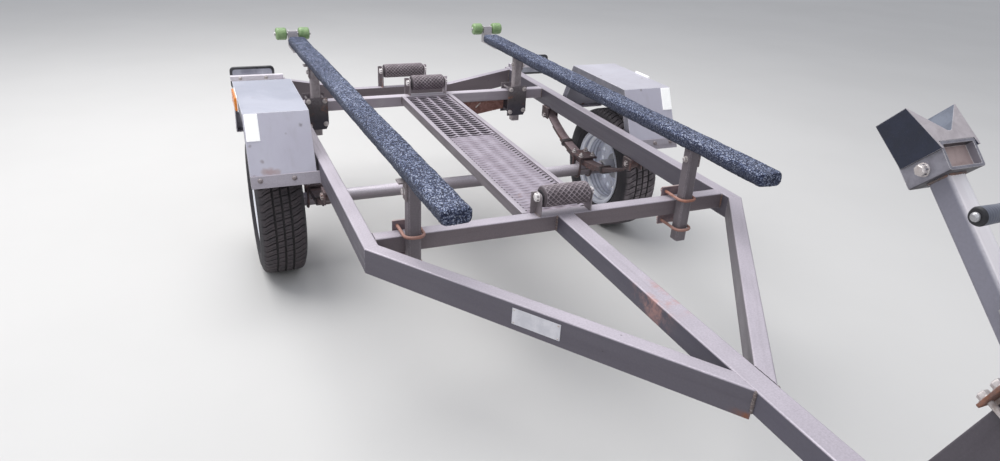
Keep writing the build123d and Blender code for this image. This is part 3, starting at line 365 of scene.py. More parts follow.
M["spring"] = metal("spring_steel", (0.150, 0.112, 0.118), (0.085, 0.062, 0.066),
                    (0.04, 0.03, 0.032), streak=(1, 0.06, 1), rust=0.56, rust_soft=0.16,
                    rough=(0.55, 0.8), metallic=0.15, rust_colour=(0.105, 0.055, 0.048),
                    edge_colour=(0.34, 0.27, 0.28), also=spring_tone)
M["plate"] = metal("dark_plate_steel", (0.140, 0.122, 0.128), (0.092, 0.080, 0.086),
                   (0.03, 0.024, 0.024), rust=0.58, rust_soft=0.14, rough=(0.55, 0.8),
                   metallic=0.15, edge_colour=(0.42, 0.33, 0.30), also=head_tone)
M["plate_plain"] = metal("dark_clip_steel", (0.085, 0.072, 0.074), (0.052, 0.044, 0.047),
                         (0.03, 0.024, 0.024), rust=0.62, rust_soft=0.14, rough=(0.55, 0.8),
                         metallic=0.15, edge_colour=(0.20, 0.16, 0.16))
M["rusty_plate"] = metal("rusty_plate_steel", (0.355, 0.212, 0.188), (0.210, 0.132, 0.120),
                         (0.05, 0.03, 0.028), rust=0.52, rust_soft=0.2, rough=(0.65, 0.9),
                         metallic=0.0, edge_colour=(0.40, 0.24, 0.20))
M["rusty"] = metal("rusty_rod_steel", (0.50, 0.300, 0.256), (0.34, 0.186, 0.155),
                   (0.11, 0.045, 0.03), rust=0.50, rust_soft=0.2, rough=(0.7, 0.92),
                   metallic=0.0, rust_colour=(0.24, 0.105, 0.072), edge=0.001, grain=0.0003,
                   edge_colour=(0.52, 0.30, 0.20), also=clamp_tone)
M["bolt"] = metal("plated_bolt_steel", (0.78, 0.73, 0.72), (0.54, 0.495, 0.49),
                  (0.22, 0.16, 0.13), rust=0.60, rust_soft=0.12, metallic=0.6,
                  rough=(0.3, 0.5), edge=0.0008)
M["zinc"] = metal("zinc_steel", (0.56, 0.56, 0.585), (0.40, 0.40, 0.42), (0.24, 0.23, 0.235),
                  rust=0.70, metallic=0.75, rough=(0.32, 0.52), streak=(1, 1, 0.1))
M["roller_bracket"] = metal("roller_bracket_steel", (0.74, 0.71, 0.74), (0.56, 0.53, 0.555),
                            (0.24, 0.21, 0.215), rust=0.70, metallic=0.3, rough=(0.35, 0.55))
# near-white keel roller bolts: a painted glint in the base colour
M["bright_bolt"] = metal("bright_bolt_steel", (0.97, 0.95, 0.94), (0.92, 0.89, 0.88),
                         (0.40, 0.33, 0.30), rust=0.68, rust_soft=0.10, metallic=0.15,
                         rough=(0.25, 0.4), edge=0.0008)
M["weld"] = metal("weld_bead", (0.26, 0.225, 0.225), (0.165, 0.138, 0.135), (0.07, 0.05, 0.045),
                  rust=0.56, rust_soft=0.16, edge=0.0006, metallic=0.3, rough=(0.4, 0.62))


def fender_material():
    g = G("fender_sheet")
    nx, ny, nz = g.nrm()
    # top and sloping ends take lit and shaded copies of one paint: painted light; the right fender's
    # top gets a painted bluish reflection
    up = g.rng(nz, 0.80, 0.98)
    side_x = g.rng(g.xyz(g.co)[0], -0.1, 0.1)
    top_light_and_reflection = g.mix(side_x, (0.355, 0.370, 0.440), (0.500, 0.490, 0.545))
    col = g.mix(up, (0.520, 0.504, 0.590), top_light_and_reflection)
    # faces turned sideways and down are darkened: painted shade
    col = g.mix(g.rng(nz, 0.0, 0.5, 0.55, 0.0), col, (0.30, 0.29, 0.33))
    x, y, z = g.xyz(g.co)
    runs = g.noise(30, 5, 0.6, vec=g.mapped(scale=(1, 1, 0.08)), dist=0.4)
    col = g.mix(g.rng(runs, 0.48, 0.80, 0, 0.26), col, (0.36, 0.335, 0.37))
    cloud = g.noise(4.2, 4, 0.6, dist=0.8)
    col = g.mix(g.rng(cloud, 0.40, 0.68, 0, 0.25), col, (0.60, 0.605, 0.68))
    # the turned-in side flanges are darker: painted shade on these upright faces
    absn = g.math("ABSOLUTE", nx)
    flange_shade = g.rng(absn, 0.82, 0.94)
    fn = g.noise(26, 6, 0.62)
    col = g.mix(g.math("MULTIPLY", flange_shade, 0.92), col,
                g.mix(g.rng(fn, 0.36, 0.68), (0.150, 0.152, 0.182), (0.215, 0.208, 0.238)))
    # small chips and stains
    v = g.voro(17)
    pick = g.rng(g.xyz(v.outputs["Color"])[0], 0.84, 0.88)
    dot = g.math("MULTIPLY", g.rng(v.outputs["Distance"], 0.05, 0.13, 1, 0), pick)
    col = g.mix(g.math("MULTIPLY", dot, 0.6), col, (0.235, 0.20, 0.21))
    wob = g.vmath("SCALE", g.vmath("SUBTRACT", g.noise_colour(70, 3), (0.5, 0.5, 0.5)).outputs[0])
    wob.inputs["Scale"].default_value = 0.012
    cw = g.vmath("ADD", g.co, wob.outputs[0]).outputs[0]
    for px, py, pz, r, tone, amt in (
            (-0.7118, 0.7393, 0.6934, 0.0105, (0.235, 0.215, 0.235), 0.80),
            (-0.8947, 0.7120, 0.6375, 0.0095, (0.260, 0.225, 0.235), 0.60),
            (-0.8608, 0.6859, 0.5838, 0.0110, (0.250, 0.205, 0.215), 0.60),
            (-0.8560, 0.6700, 0.5510, 0.0190, (0.350, 0.225, 0.200), 0.55),
            (-0.8356, 0.6690, 0.5490, 0.0220, (0.350, 0.215, 0.190), 0.60),
            (-0.8140, 0.6675, 0.5460, 0.0190, (0.350, 0.230, 0.205), 0.50),
            (0.7350, 0.7060, 0.6240, 0.0090, (0.240, 0.20, 0.20), 0.7)):
        d = g.vmath("DISTANCE", cw, (px, py, pz)).outputs["Value"]
        col = g.mix(g.rng(d, r * 0.25, r, amt, 0.0), col, tone)
    # rust along the lower edge
    rn = g.noise(14, 8, 0.68, dist=0.6)
    low = g.rng(z, 0.53, 0.57, 0.115, 0.0)
    rust = g.rng(g.math("ADD", rn, low), 0.66, 0.75)
    col = g.mix(g.math("MULTIPLY", rust, 0.8), col, (0.22, 0.105, 0.072))
    edge_mask, soft = g.edge(0.0045, 0.003, 0.05)
    col = g.mix(g.math("MULTIPLY", edge_mask, 0.8), col, (0.80, 0.79, 0.85))
    fine = g.noise(700, 3, 0.5)
    oil = g.noise(3.0, 2, 0.5)
    h = g.math("ADD", g.math("MULTIPLY", fine, 0.04), g.math("MULTIPLY", oil, 5.0))
    rgh = g.rng(g.math("ADD", g.math("MULTIPLY", runs, 0.5), g.math("MULTIPLY", cloud, 0.5)),
                0.35, 0.65, 0.44, 0.60)
    rgh = g.math("ADD", rgh, g.math("MULTIPLY", rust, 0.3), clamp=True)
    return g.set(col, rgh, g.math("MULTIPLY", g.math("SUBTRACT", 1.0, rust), 0.16),
                 g.bump(h, 0.0009, 1.0, soft))


M["fender"] = fender_material()
M["lip"] = metal("fender_lip_steel", (0.45, 0.420, 0.475), (0.325, 0.300, 0.340),
                 (0.13, 0.11, 0.12), streak=(0.05, 1, 1), rust=0.66, run=0.4,
                 edge_colour=(0.46, 0.42, 0.47))


def rubber(name, colour, dust, rough=(0.62, 0.85), bump=0.0004, dust_lo=0.45, dust_hi=0.75,
           dust_amt=0.6, top_dust=0.35, grain=320):
    g = G(name)
    n = g.noise(11, 7, 0.62, dist=0.4)
    col = g.mix(g.rng(n, dust_lo, dust_hi, 0, dust_amt), colour, dust)
    nz = g.nrm()[2]
    col = g.mix(g.rng(nz, 0.3, 0.95, 0, top_dust), col, dust)
    s = g.noise(grain, 4, 0.6)
    col = g.mix(g.rng(s, 0.60, 0.80, 0, 0.25), col, dust)
    edge_mask, soft = g.edge(0.0015)
    col = g.mix(g.math("MULTIPLY", edge_mask, 0.35), col, dust)
    return g.set(col, g.rng(n, 0.3, 0.7, rough[0], rough[1]), 0.0, g.bump(s, bump, 0.8, soft))


def tyre_material(name, cx):
    g = G(name)
    r = g.radius("X", 1.0, 0.289)
    x = g.xyz(g.co)[0]
    n = g.noise(9, 8, 0.64, dist=0.5)
    col = g.mix(g.rng(n, 0.38, 0.72), (0.018, 0.0175, 0.023), (0.046, 0.040, 0.046))
    # brown tone on the tread: strong and light on the left tyre, faint and dark on the right
    tread = g.rng(r, 0.268, 0.286)
    d = g.noise(34, 6, 0.62)
    tread_tone = (0.215, 0.184, 0.198) if cx > 0 else (0.068, 0.054, 0.059)
    amount = g.math("MULTIPLY", tread, g.rng(d, 0.34, 0.66, 0.35, 0.9))
    if cx > 0:
        # only the front of the tread gets the light tone
        amount = g.math("MULTIPLY", amount, g.rng(g.xyz(g.co)[1], 0.80, 0.96, 1.0, 0.12))
    col = g.mix(amount, col, tread_tone)
    # painted shade at the bottom of the tread grooves
    groove_shade = g.math("MULTIPLY", g.rng(r, 0.2825, 0.2868, 1, 0), g.rng(r, 0.272, 0.279))
    inside = g.rng(g.math("ABSOLUTE", g.math("SUBTRACT", x, cx)), 0.050, 0.066, 1, 0)
    col = g.mix(g.math("MULTIPLY", g.math("MULTIPLY", groove_shade, inside), 0.85), col,
                (0.012, 0.010, 0.012))
    rings = g.math("SINE", g.math("MULTIPLY", r, 2600.0))
    s = g.noise(260, 4, 0.6)
    h = g.math("ADD", g.math("MULTIPLY", s, 0.6),
               g.math("MULTIPLY", g.math("MULTIPLY", rings, g.rng(r, 0.245, 0.26, 1, 0)), 0.22))
    edge_mask, soft = g.edge(0.0012)
    col = g.mix(g.math("MULTIPLY", edge_mask, 0.30), col, (0.15, 0.13, 0.125))
    return g.set(col, g.rng(n, 0.3, 0.7, 0.62, 0.84), 0.0, g.bump(h, 0.0004, 0.8, soft))


M["tyre_right"] = tyre_material("tyre_rubber_right", -0.803)
M["tyre_left"] = tyre_material("tyre_rubber_left", 0.803)


def rim_material():
    g = G("rim_silver_paint")
    r = g.radius("X", 1.0, 0.289)
    cloud = g.noise(12, 6, 0.62, dist=0.5)
    col = g.mix(g.rng(cloud, 0.36, 0.68), (0.80, 0.825, 0.930), (0.66, 0.680, 0.775))
    # bright and dark rings on the barrel: painted reflections
    ax = g.math("ABSOLUTE", g.xyz(g.co)[0])
    ring = g.math("SINE", g.math("MULTIPLY", ax, 310.0))
    on_barrel = g.rng(r, 0.140, 0.146)
    col = g.mix(g.math("MULTIPLY", g.rng(ring, 0.1, 0.8, 0, 0.75), on_barrel), col,
                (0.92, 0.94, 0.98))
    col = g.mix(g.math("MULTIPLY", g.rng(ring, -0.9, -0.3, 0.6, 0), on_barrel), col,
                (0.30, 0.31, 0.37))
    dirt = g.math("ADD", g.noise(30, 7, 0.66), g.rng(r, 0.150, 0.172, 0.10, 0.0))
    col = g.mix(g.rng(dirt, 0.60, 0.78, 0, 0.45), col, (0.26, 0.235, 0.25))
    col = g.mix(g.rng(g.noise(16, 8, 0.7), 0.69, 0.74, 0, 0.8), col, (0.20, 0.095, 0.065))
    edge_mask, soft = g.edge(0.0016)
    col = g.mix(g.math("MULTIPLY", edge_mask, 0.5), col, (0.76, 0.77, 0.80))
    fine = g.noise(600, 3)
    return g.set(col, g.rng(cloud, 0.3, 0.7, 0.28, 0.44), 0.35, g.bump(fine, 0.00015, 0.6, soft))


M["rim"] = rim_material()


def carpet_material(name, turn):
    g = G(name)
    wob = g.noise_colour(160, 2)
    off = g.vmath("SCALE", g.vmath("SUBTRACT", wob, (0.5, 0.5, 0.5)).outputs[0])
    off.inputs["Scale"].default_value = 0.0065
    vec = g.vmath("ADD", g.co, off.outputs[0]).outputs[0]
    sq = g.mapped(scale=(1.0, 0.78, 1.0), rot=(0, 0, turn), vec=vec)
    v1 = g.voro(320, vec=sq)
    v2 = g.voro(640, vec=sq)
    pick = g.xyz(v1.outputs["Color"])[0]
    pick2 = g.xyz(v2.outputs["Color"])[1]
    p = g.math("ADD", g.math("MULTIPLY", pick, 0.74), g.math("MULTIPLY", pick2, 0.26))
    p = g.math("ADD", p, g.rng(g.noise(2.6, 3), 0.35, 0.65, -0.05, 0.05))
    far = g.rng(g.xyz(g.co)[1], 0.35, 1.70)
    p = g.math("SUBTRACT", p, g.math("MULTIPLY", far, 0.07))
    col = g.ramp(p, [(0.0, (0.014, 0.018, 0.038)), (0.45, (0.026, 0.034, 0.075)),
                     (0.55, (0.062, 0.080, 0.160)), (0.64, (0.150, 0.185, 0.310)),
                     (0.74, (0.290, 0.340, 0.485)), (0.88, (0.500, 0.545, 0.690)),
                     (1.0, (0.620, 0.660, 0.790))])
    gap = g.rng(v1.outputs["Distance"], 0.42, 0.80)
    col = g.mix(g.math("MULTIPLY", gap, 0.66), col, (0.015, 0.019, 0.038))
    nx, ny, nz = g.nrm()
    shade = g.math("MULTIPLY", g.rng(nz, -0.10, 0.85, 0.80, 0.0), g.rng(ny, -0.9, -0.4, 0.42, 1.0))
    col = g.mix(shade, col, (0.014, 0.019, 0.046))
    fibre = g.noise(1500, 3, 0.7)
    h = g.math("SUBTRACT", g.math("MULTIPLY", fibre, 0.5), v1.outputs["Distance"])
    m = g.set(col, g.rng(fibre, 0.3, 0.7, 0.86, 0.98), 0.0, g.bump(h, 0.0022, 0.9))
    g.b.inputs["Sheen Weight"].default_value = 0.12
    g.b.inputs["Sheen Roughness"].default_value = 0.55
    g.b.inputs["Specular IOR Level"].default_value = 0.18
    return m


M["carpet_right"] = carpet_material("bunk_carpet_right", 0.02)
M["carpet_left"] = carpet_material("bunk_carpet_left", -0.01)


def keel_material(name, y, z):
    g = G(name)
    r = g.radius("X", y, z)
    n = g.noise(30, 6, 0.62, dist=0.4)
    top = g.mix(g.rng(n, 0.36, 0.68), (0.400, 0.340, 0.372), (0.235, 0.190, 0.206))
    col = g.mix(g.rng(r, 0.0338, 0.0358), (0.084, 0.067, 0.076), top)
    nz = g.nrm()[2]
    col = g.mix(g.rng(nz, 0.4, 1.0, 0, 0.22), col, (0.36, 0.32, 0.35))
    s = g.noise(420, 4, 0.6)
    return g.set(col, g.rng(n, 0.3, 0.7, 0.55, 0.78), 0.0, g.bump(s, 0.0003, 0.8))


def plastic(name, colour, colour2, rough=(0.3, 0.5), scale=14, bump=0.0002, coat=0.0, **more):
    g = G(name)
    n = g.noise(scale, 6, 0.6, dist=0.4)
    col = g.mix(g.rng(n, 0.35, 0.7), colour, colour2)
    grime = g.noise(90, 5, 0.66)
    col = g.mix(g.rng(grime, 0.60, 0.80, 0, 0.35), col, tuple(c * 0.45 for c in colour))
    fine = g.noise(500, 3)
    m = g.set(col, g.rng(n, 0.3, 0.7, rough[0], rough[1]), 0.0, g.bump(fine, bump, 0.6))
    g.b.inputs["Coat Weight"].default_value = coat
    for k, v in more.items():
        g.b.inputs[k.replace("_", " ")].default_value = v
    return m


M["green"] = plastic("green_roller_plastic", (0.180, 0.295, 0.125), (0.262, 0.380, 0.188),
                     (0.35, 0.55), 30, coat=0.15)
M["black_plastic"] = plastic("black_housing_plastic", (0.022, 0.023, 0.028), (0.045, 0.046, 0.054),
                             (0.25, 0.42), 22, coat=0.2)
M["lamp_back"] = plastic("lamp_back_gloss", (0.27, 0.275, 0.33), (0.42, 0.43, 0.50), (0.14, 0.28), 14,
                         coat=0.5)
M["red_lens"] = plastic("red_lens", (0.48, 0.012, 0.010), (0.56, 0.020, 0.014), (0.08, 0.16), 12,
                        coat=0.8)
M["amber_lens"] = plastic("amber_lens", (0.80, 0.235, 0.018), (0.86, 0.29, 0.03), (0.08, 0.18), 12,
                          coat=0.8)
M["white_lens"] = plastic("white_lens", (0.76, 0.765, 0.78), (0.84, 0.845, 0.86), (0.10, 0.22), 12,
                          coat=0.7)
M["keel_plain"] = rubber("keel_rubber_plain", (0.030, 0.028, 0.033), (0.10, 0.09, 0.095))


def grip_material():
    """Grey grip with a black ring at its outer end."""
    g = G("grip_rubber")
    n = g.noise(24, 7, 0.62, dist=0.4)
    col = g.mix(g.rng(n, 0.38, 0.68), (0.105, 0.115, 0.150), (0.200, 0.210, 0.245))
    x = g.xyz(g.co)[0]
    col = g.mix(g.rng(x, -0.1535, -0.1545), col, (0.016, 0.016, 0.020))
    col = g.mix(g.math("MULTIPLY", g.rng(x, -0.0775, -0.0765), 0.9), col, (0.020, 0.020, 0.024))
    rib = g.math("SINE", g.math("MULTIPLY", x, 1250.0))
    s_ = g.noise(420, 4, 0.6)
    h = g.math("ADD", g.math("MULTIPLY", rib, 0.5), g.math("MULTIPLY", s_, 0.4))
    return g.set(col, g.rng(n, 0.3, 0.7, 0.42, 0.62), 0.0, g.bump(h, 0.0004, 0.8))


M["grip"] = grip_material()
M["reflector"] = plastic("white_reflector", (0.93, 0.93, 0.92), (0.97, 0.97, 0.96), (0.30, 0.45), 18,
                         coat=0.3)
# emission makes the reflectors glow: painted brightness in place of reflected light
M["reflector"].node_tree.nodes["Principled BSDF"].inputs["Emission Color"].default_value = \
    (1.0, 1.0, 1.0, 1.0)
M["reflector"].node_tree.nodes["Principled BSDF"].inputs["Emission Strength"].default_value = 0.22
M["plate_blank"] = plastic("blank_plate", (0.58, 0.575, 0.62), (0.70, 0.69, 0.73), (0.38, 0.55), 35)
# dark colours for closed faces where openings would be: painted shade
M["gap"] = plastic("dark_opening", (0.020, 0.016, 0.018), (0.036, 0.030, 0.032), (0.8, 0.95), 60)
M["mesh_shadow"] = plastic("mesh_opening_shadow", (0.034, 0.027, 0.036), (0.060, 0.050, 0.062),
                           (0.8, 0.95), 60)


def jockey_material():
    g = G("jockey_wheel_rubber_and_hub")
    r = g.radius("X", -1.612, 0.1)
    n = g.noise(24, 6, 0.62, dist=0.4)
    tyre = g.mix(g.rng(n, 0.38, 0.7), (0.030, 0.028, 0.030), (0.085, 0.076, 0.072))
    hub = g.mix(g.rng(n, 0.38, 0.7), (0.46, 0.45, 0.45), (0.30, 0.285, 0.275))
    col = g.mix(g.rng(r, 0.0705, 0.0720), hub, tyre)
    s = g.noise(380, 4, 0.6)
    edge_mask, soft = g.edge(0.002)
    col = g.mix(g.math("MULTIPLY", edge_mask, 0.3), col, (0.34, 0.32, 0.31))
    return g.set(col, g.rng(n, 0.3, 0.7, 0.5, 0.75), 0.0, g.bump(s, 0.0003, 0.7, soft))


M["jockey"] = jockey_material()


def bow_material():
    """V block: grey coated front, near-black outer sides, bluish inner faces of the V."""
    g = G("bow_stop_coating")
    nx, ny, nz = g.nrm()
    n = g.noise(26, 7, 0.64, dist=0.5)
    front = g.mix(g.rng(n, 0.38, 0.68), (0.450, 0.412, 0.432), (0.345, 0.312, 0.330))
    sidec = g.mix(g.rng(n, 0.38, 0.68), (0.010, 0.0135, 0.030), (0.022, 0.027, 0.052))
    vee = g.mix(g.rng(n, 0.38, 0.68), (0.165, 0.185, 0.235), (0.115, 0.130, 0.170))
    absx = g.math("ABSOLUTE", nx)
    # front face looks forward and up: normal (0, -0.7, 0.7); the V's inner faces tilt in x and a
    a_dir = g.vmath("DOT_PRODUCT", g.geo.outputs["Normal"], (0.0, H, H)).outputs["Value"]
    col = g.mix(g.rng(a_dir, 0.35, 0.62), front, vee)
    col = g.mix(g.rng(absx, 0.90, 0.97), col, sidec)
    # faces turned down and forward are darkened: painted shade
    col = g.mix(g.rng(a_dir, -0.45, -0.7), col, (0.05, 0.04, 0.04))
    edge_mask, soft = g.edge(0.0016)
    col = g.mix(g.math("MULTIPLY", edge_mask, 0.6), col, (0.64, 0.62, 0.66))
    s = g.noise(500, 4)
    col = g.mix(g.rng(s, 0.58, 0.75, 0, 0.25), col, (0.10, 0.09, 0.09))
    return g.set(col, g.rng(n, 0.3, 0.7, 0.45, 0.70), 0.0, g.bump(s, 0.0003, 0.7, soft))


M["bow"] = bow_material()


def packing_material():
    """Box bracket: bare steel outside, pinkish-brown packing inside its mouth."""
    g = G("bow_bracket_steel_and_packing")
    n = g.noise(30, 7, 0.64, dist=0.5)
    d = g.vmath("SUBTRACT", g.co, (0.0, -1.180, 1.136)).outputs[0]
    a = g.vmath("DOT_PRODUCT", d, (0.0, H, H)).outputs["Value"]
    nn = g.vmath("DOT_PRODUCT", d, (0.0, -H, H)).outputs["Value"]
    x = g.math("ABSOLUTE", g.xyz(g.co)[0])
    inside = g.math("MULTIPLY", g.rng(x, 0.0332, 0.0326), g.math(
        "MULTIPLY", g.rng(a, 0.0115, 0.0121), g.rng(a, 0.0485, 0.0479)))
    steel = g.mix(g.rng(n, 0.38, 0.68), (0.275, 0.268, 0.310), (0.195, 0.185, 0.215))
    pack = g.mix(g.rng(n, 0.38, 0.68), (0.52, 0.405, 0.385), (0.38, 0.285, 0.27))
    col = g.mix(g.math("MULTIPLY", inside, g.rng(nn, 0.0275, 0.0262)), steel, pack)
    # faces turned down and forward are darkened: painted shade
    under = g.vmath("DOT_PRODUCT", g.geo.outputs["Normal"], (0.0, H, H)).outputs["Value"]
    col = g.mix(g.rng(under, -0.5, -0.8, 0, 0.8), col, (0.035, 0.030, 0.034))
    edge_mask, soft = g.edge(0.0014)
    col = g.mix(g.math("MULTIPLY", edge_mask, 0.8), col, (0.90, 0.88, 0.88))
    s = g.noise(500, 4)
    return g.set(col, g.rng(n, 0.3, 0.7, 0.38, 0.62), 0.35, g.bump(s, 0.0003, 0.7, soft))


M["bow_box"] = packing_material()


def rear_cross_material():
    """Cross member with the rust-red plate under it."""
    g = G("rear_cross_steel")
    base = M["frame_x"]
    nx, ny, nz = g.nrm()
    # lighter top and darker sides: painted light and painted shade
    up = g.rng(nz, 0.10, 0.92)
    col = g.mix(up, (0.345, 0.305, 0.345), (0.60, 0.555, 0.615))
    runs = g.noise(42, 6, 0.62, vec=g.mapped(scale=(0.05, 1, 1)), dist=0.12)
    col = g.mix(g.rng(runs, 0.47, 0.78, 0, 0.3), col, FR_DARK)
    cloud = g.noise(5.5, 5, 0.6, dist=0.6)
    col = g.mix(g.rng(cloud, 0.42, 0.70, 0, 0.3), col, (0.58, 0.54, 0.56))
    z = g.xyz(g.co)[2]
    r2 = g.noise(48, 7, 0.68, dist=0.5)
    rust = g.mix(g.rng(r2, 0.36, 0.68), (0.155, 0.068, 0.056), (0.270, 0.140, 0.120))
    low = g.rng(z, 0.529, 0.523)
    col = g.mix(low, col, rust)
    spots = g.noise(150, 3, 0.7)
    col = g.mix(g.rng(spots, 0.62, 0.78, 0, 0.3), col, FR_DARK)
    edge_mask, soft = g.edge(0.0022)
    col = g.mix(g.math("MULTIPLY", edge_mask, 0.4), col, (0.55, 0.50, 0.50))
    return g.set(col, g.rng(cloud, 0.35, 0.65, 0.45, 0.68), 0.2,
                 g.bump(spots, 0.0003, 0.8, soft))


M["rear_cross"] = rear_cross_material()


def plank_material():
    g = G("walkway_sheet")
    nx, ny, nz = g.nrm()
    n = g.noise(16, 7, 0.64, dist=0.5)
    col = g.mix(g.rng(n, 0.36, 0.68), (0.430, 0.388, 0.455), (0.310, 0.272, 0.326))
    z = g.xyz(g.co)[2]
    # low parts of the pressing darkened: painted shade in the hollows
    col = g.mix(g.rng(z, 0.5694, 0.5712, 0.45, 0.0), col, (0.215, 0.170, 0.185))
    col = g.mix(g.rng(g.noise(9, 8, 0.68), 0.62, 0.72, 0, 0.6), col, (0.265, 0.170, 0.150))
    s = g.noise(420, 4)
    return g.set(col, g.rng(n, 0.3, 0.7, 0.42, 0.64), 0.25, g.bump(s, 0.0002, 0.7))


def grating_material():
    g = G("walkway_mesh_steel")
    n = g.noise(22, 7, 0.64, dist=0.5)
    col = g.mix(g.rng(n, 0.36, 0.68), (0.400, 0.355, 0.415), (0.275, 0.240, 0.280))
    z = g.xyz(g.co)[2]
    # low parts of the strands darkened: painted shade in the hollows
    col = g.mix(g.rng(z, 0.5664, 0.5702), (0.125, 0.102, 0.122), col)
    # bright ridge tops: painted glints
    col = g.mix(g.rng(z, 0.5699, 0.5706, 0, 0.9), col, (0.60, 0.55, 0.63))
    col = g.mix(g.rng(g.noise(13, 8, 0.68), 0.58, 0.70, 0, 0.5), col, (0.230, 0.140, 0.125))
    s = g.noise(420, 4)
    return g.set(col, g.rng(n, 0.3, 0.7, 0.5, 0.75), 0.2, g.bump(s, 0.0003, 0.7))


M["plank"] = plank_material()
M["grating"] = grating_material()


# ------------------------------------------------------------------ mesh helpers
class Mesh:
    """Collects vertices and faces of one joined piece."""

    def __init__(self):
        self.v, self.f, self.mi, self.count = [], [], [], 0

    def add(self, verts, faces, mat=0):
        verts = np.asarray(verts, float).reshape(-1, 3)
        for f in faces:
            self.f.append(tuple(int(i) + self.count for i in f))
            self.mi.append(mat)
        self.v.append(verts)
        self.count += len(verts)

    def lathe(self, prof, origin, axis, n=24, mat=0, phase=0.0):
        """Turned shape: prof is (a, r) along axis from origin; ends at r 0 are closed."""
        o, ax = np.array(origin, float), np.array(axis, float)
        ax /= np.linalg.norm(ax)
        ref = np.array((0, 0, 1.0)) if abs(ax[2]) < 0.9 else np.array((1.0, 0, 0))
        u = np.cross(ax, ref); u /= np.linalg.norm(u)
        w = np.cross(ax, u)
        t = np.arange(n) / n * 2 * PI + phase
        ring = np.outer(np.cos(t), u) + np.outer(np.sin(t), w)
        rows, faces, start = [], [], []
        k = 0
        for a, r in prof:
            c = o + ax * a
            if r < 1e-7:
                rows.append(c[None, :]); start.append((k, 1)); k += 1
            else:
                rows.append(c + ring * r); start.append((k, n)); k += n
        for (s0, c0), (s1, c1) in zip(start, start[1:]):
            for j in range(n):
                j2 = (j + 1) % n
                if c0 == 1 and c1 == 1:
                    continue
                if c0 == 1:
                    faces.append((s0, s1 + j2, s1 + j))
                elif c1 == 1:
                    faces.append((s0 + j, s0 + j2, s1))
                else:
                    faces.append((s0 + j, s0 + j2, s1 + j2, s1 + j))
        self.add(np.vstack(rows), faces, mat)

    def tube(self, pts, r, n=10, mat=0, radii=None, cap=True):
        """A bar along points."""
        p = np.asarray(pts, float)
        d = np.gradient(p, axis=0)
        d /= np.linalg.norm(d, axis=1)[:, None]
        ref = np.array((0, 0, 1.0)) if abs(d[0][2]) < 0.9 else np.array((1.0, 0, 0))
        u = np.cross(d[0], ref); u /= np.linalg.norm(u)
        verts, t = [], np.arange(n) / n * 2 * PI
        for k in range(len(p)):
            u = u - d[k] * np.dot(u, d[k]); u /= np.linalg.norm(u)
            w = np.cross(d[k], u)
            rr = radii[k] if radii is not None else r
            verts.append(p[k] + (np.outer(np.cos(t), u) + np.outer(np.sin(t), w)) * rr)
        m = len(p)
        faces = [(k * n + j, k * n + (j + 1) % n, (k + 1) * n + (j + 1) % n, (k + 1) * n + j)
                 for k in range(m - 1) for j in range(n)]
        if cap:
            faces += [tuple(range(n))[::-1], tuple((m - 1) * n + j for j in range(n))]
        self.add(np.vstack(verts), faces, mat)

    def hexhead(self, origin, axis, across, thick, washer=0.0, domed=0.3, mat=0, phase=0.0):
        """Hexagon head with chamfered crown on a washer; origin on the surface."""
        o, ax = np.array(origin, float), np.array(axis, float)
        ax /= np.linalg.norm(ax)
        if washer:
            wt = thick * 0.22
            self.lathe([(-0.0004, 0), (-0.0004, washer), (wt * 0.8, washer), (wt, washer * 0.93),
                        (wt, 0)], o, ax, 20, mat)
            o = o + ax * wt
        R = across / math.sqrt(3)
        self.lathe([(-0.0003, 0), (-0.0003, R), (thick * (1 - domed), R),
                    (thick * (1 - domed * 0.45), R * 0.93), (thick * (1 - domed * 0.45), R * 0.80),
                    (thick, R * 0.66), (thick, 0)], o, ax, 6, mat, phase)

    def box(self, lo, hi, mat=0, bevel=0.0):
        """A box with chamfered edges."""
        lo, hi = np.array(lo, float), np.array(hi, float)
        c, h = (lo + hi) / 2, (hi - lo) / 2
        self.obox(c, h, np.eye(3), mat, bevel)

    def obox(self, c, h, R, mat=0, bevel=0.0):
        """A chamfered box: centre, half sizes, rows of R are its axes."""
        h = np.asarray(h, float)
        b = min(bevel, *(h * 0.9)) if bevel else 0.0
        R = np.asarray(R, float)
        if not b:
            s = np.array([(x, y, z) for x in (-1, 1) for y in (-1, 1) for z in (-1, 1)], float)
            v = (s * h) @ R + np.asarray(c, float)
            self.add(v, [(0, 1, 3, 2), (4, 6, 7, 5), (0, 4, 5, 1), (2, 3, 7, 6), (0, 2, 6, 4),
                         (1, 5, 7, 3)], mat)
            return
        verts, idx = [], {}
        for x in (-1, 1):
            for y in (-1, 1):
                for z in (-1, 1):
                    for k in range(3):
                        q = np.array((x, y, z), float) * (h - b)
                        q[k] = (x, y, z)[k] * h[k]
                        idx[(x, y, z, k)] = len(verts)
                        verts.append(q)
        faces = []

        def quad(pts):
            q = [verts[i] for i in pts]
            nrm = np.cross(q[1] - q[0], q[2] - q[0])
            faces.append(tuple(pts) if np.dot(nrm, sum(q)) > 0 else tuple(pts[::-1]))

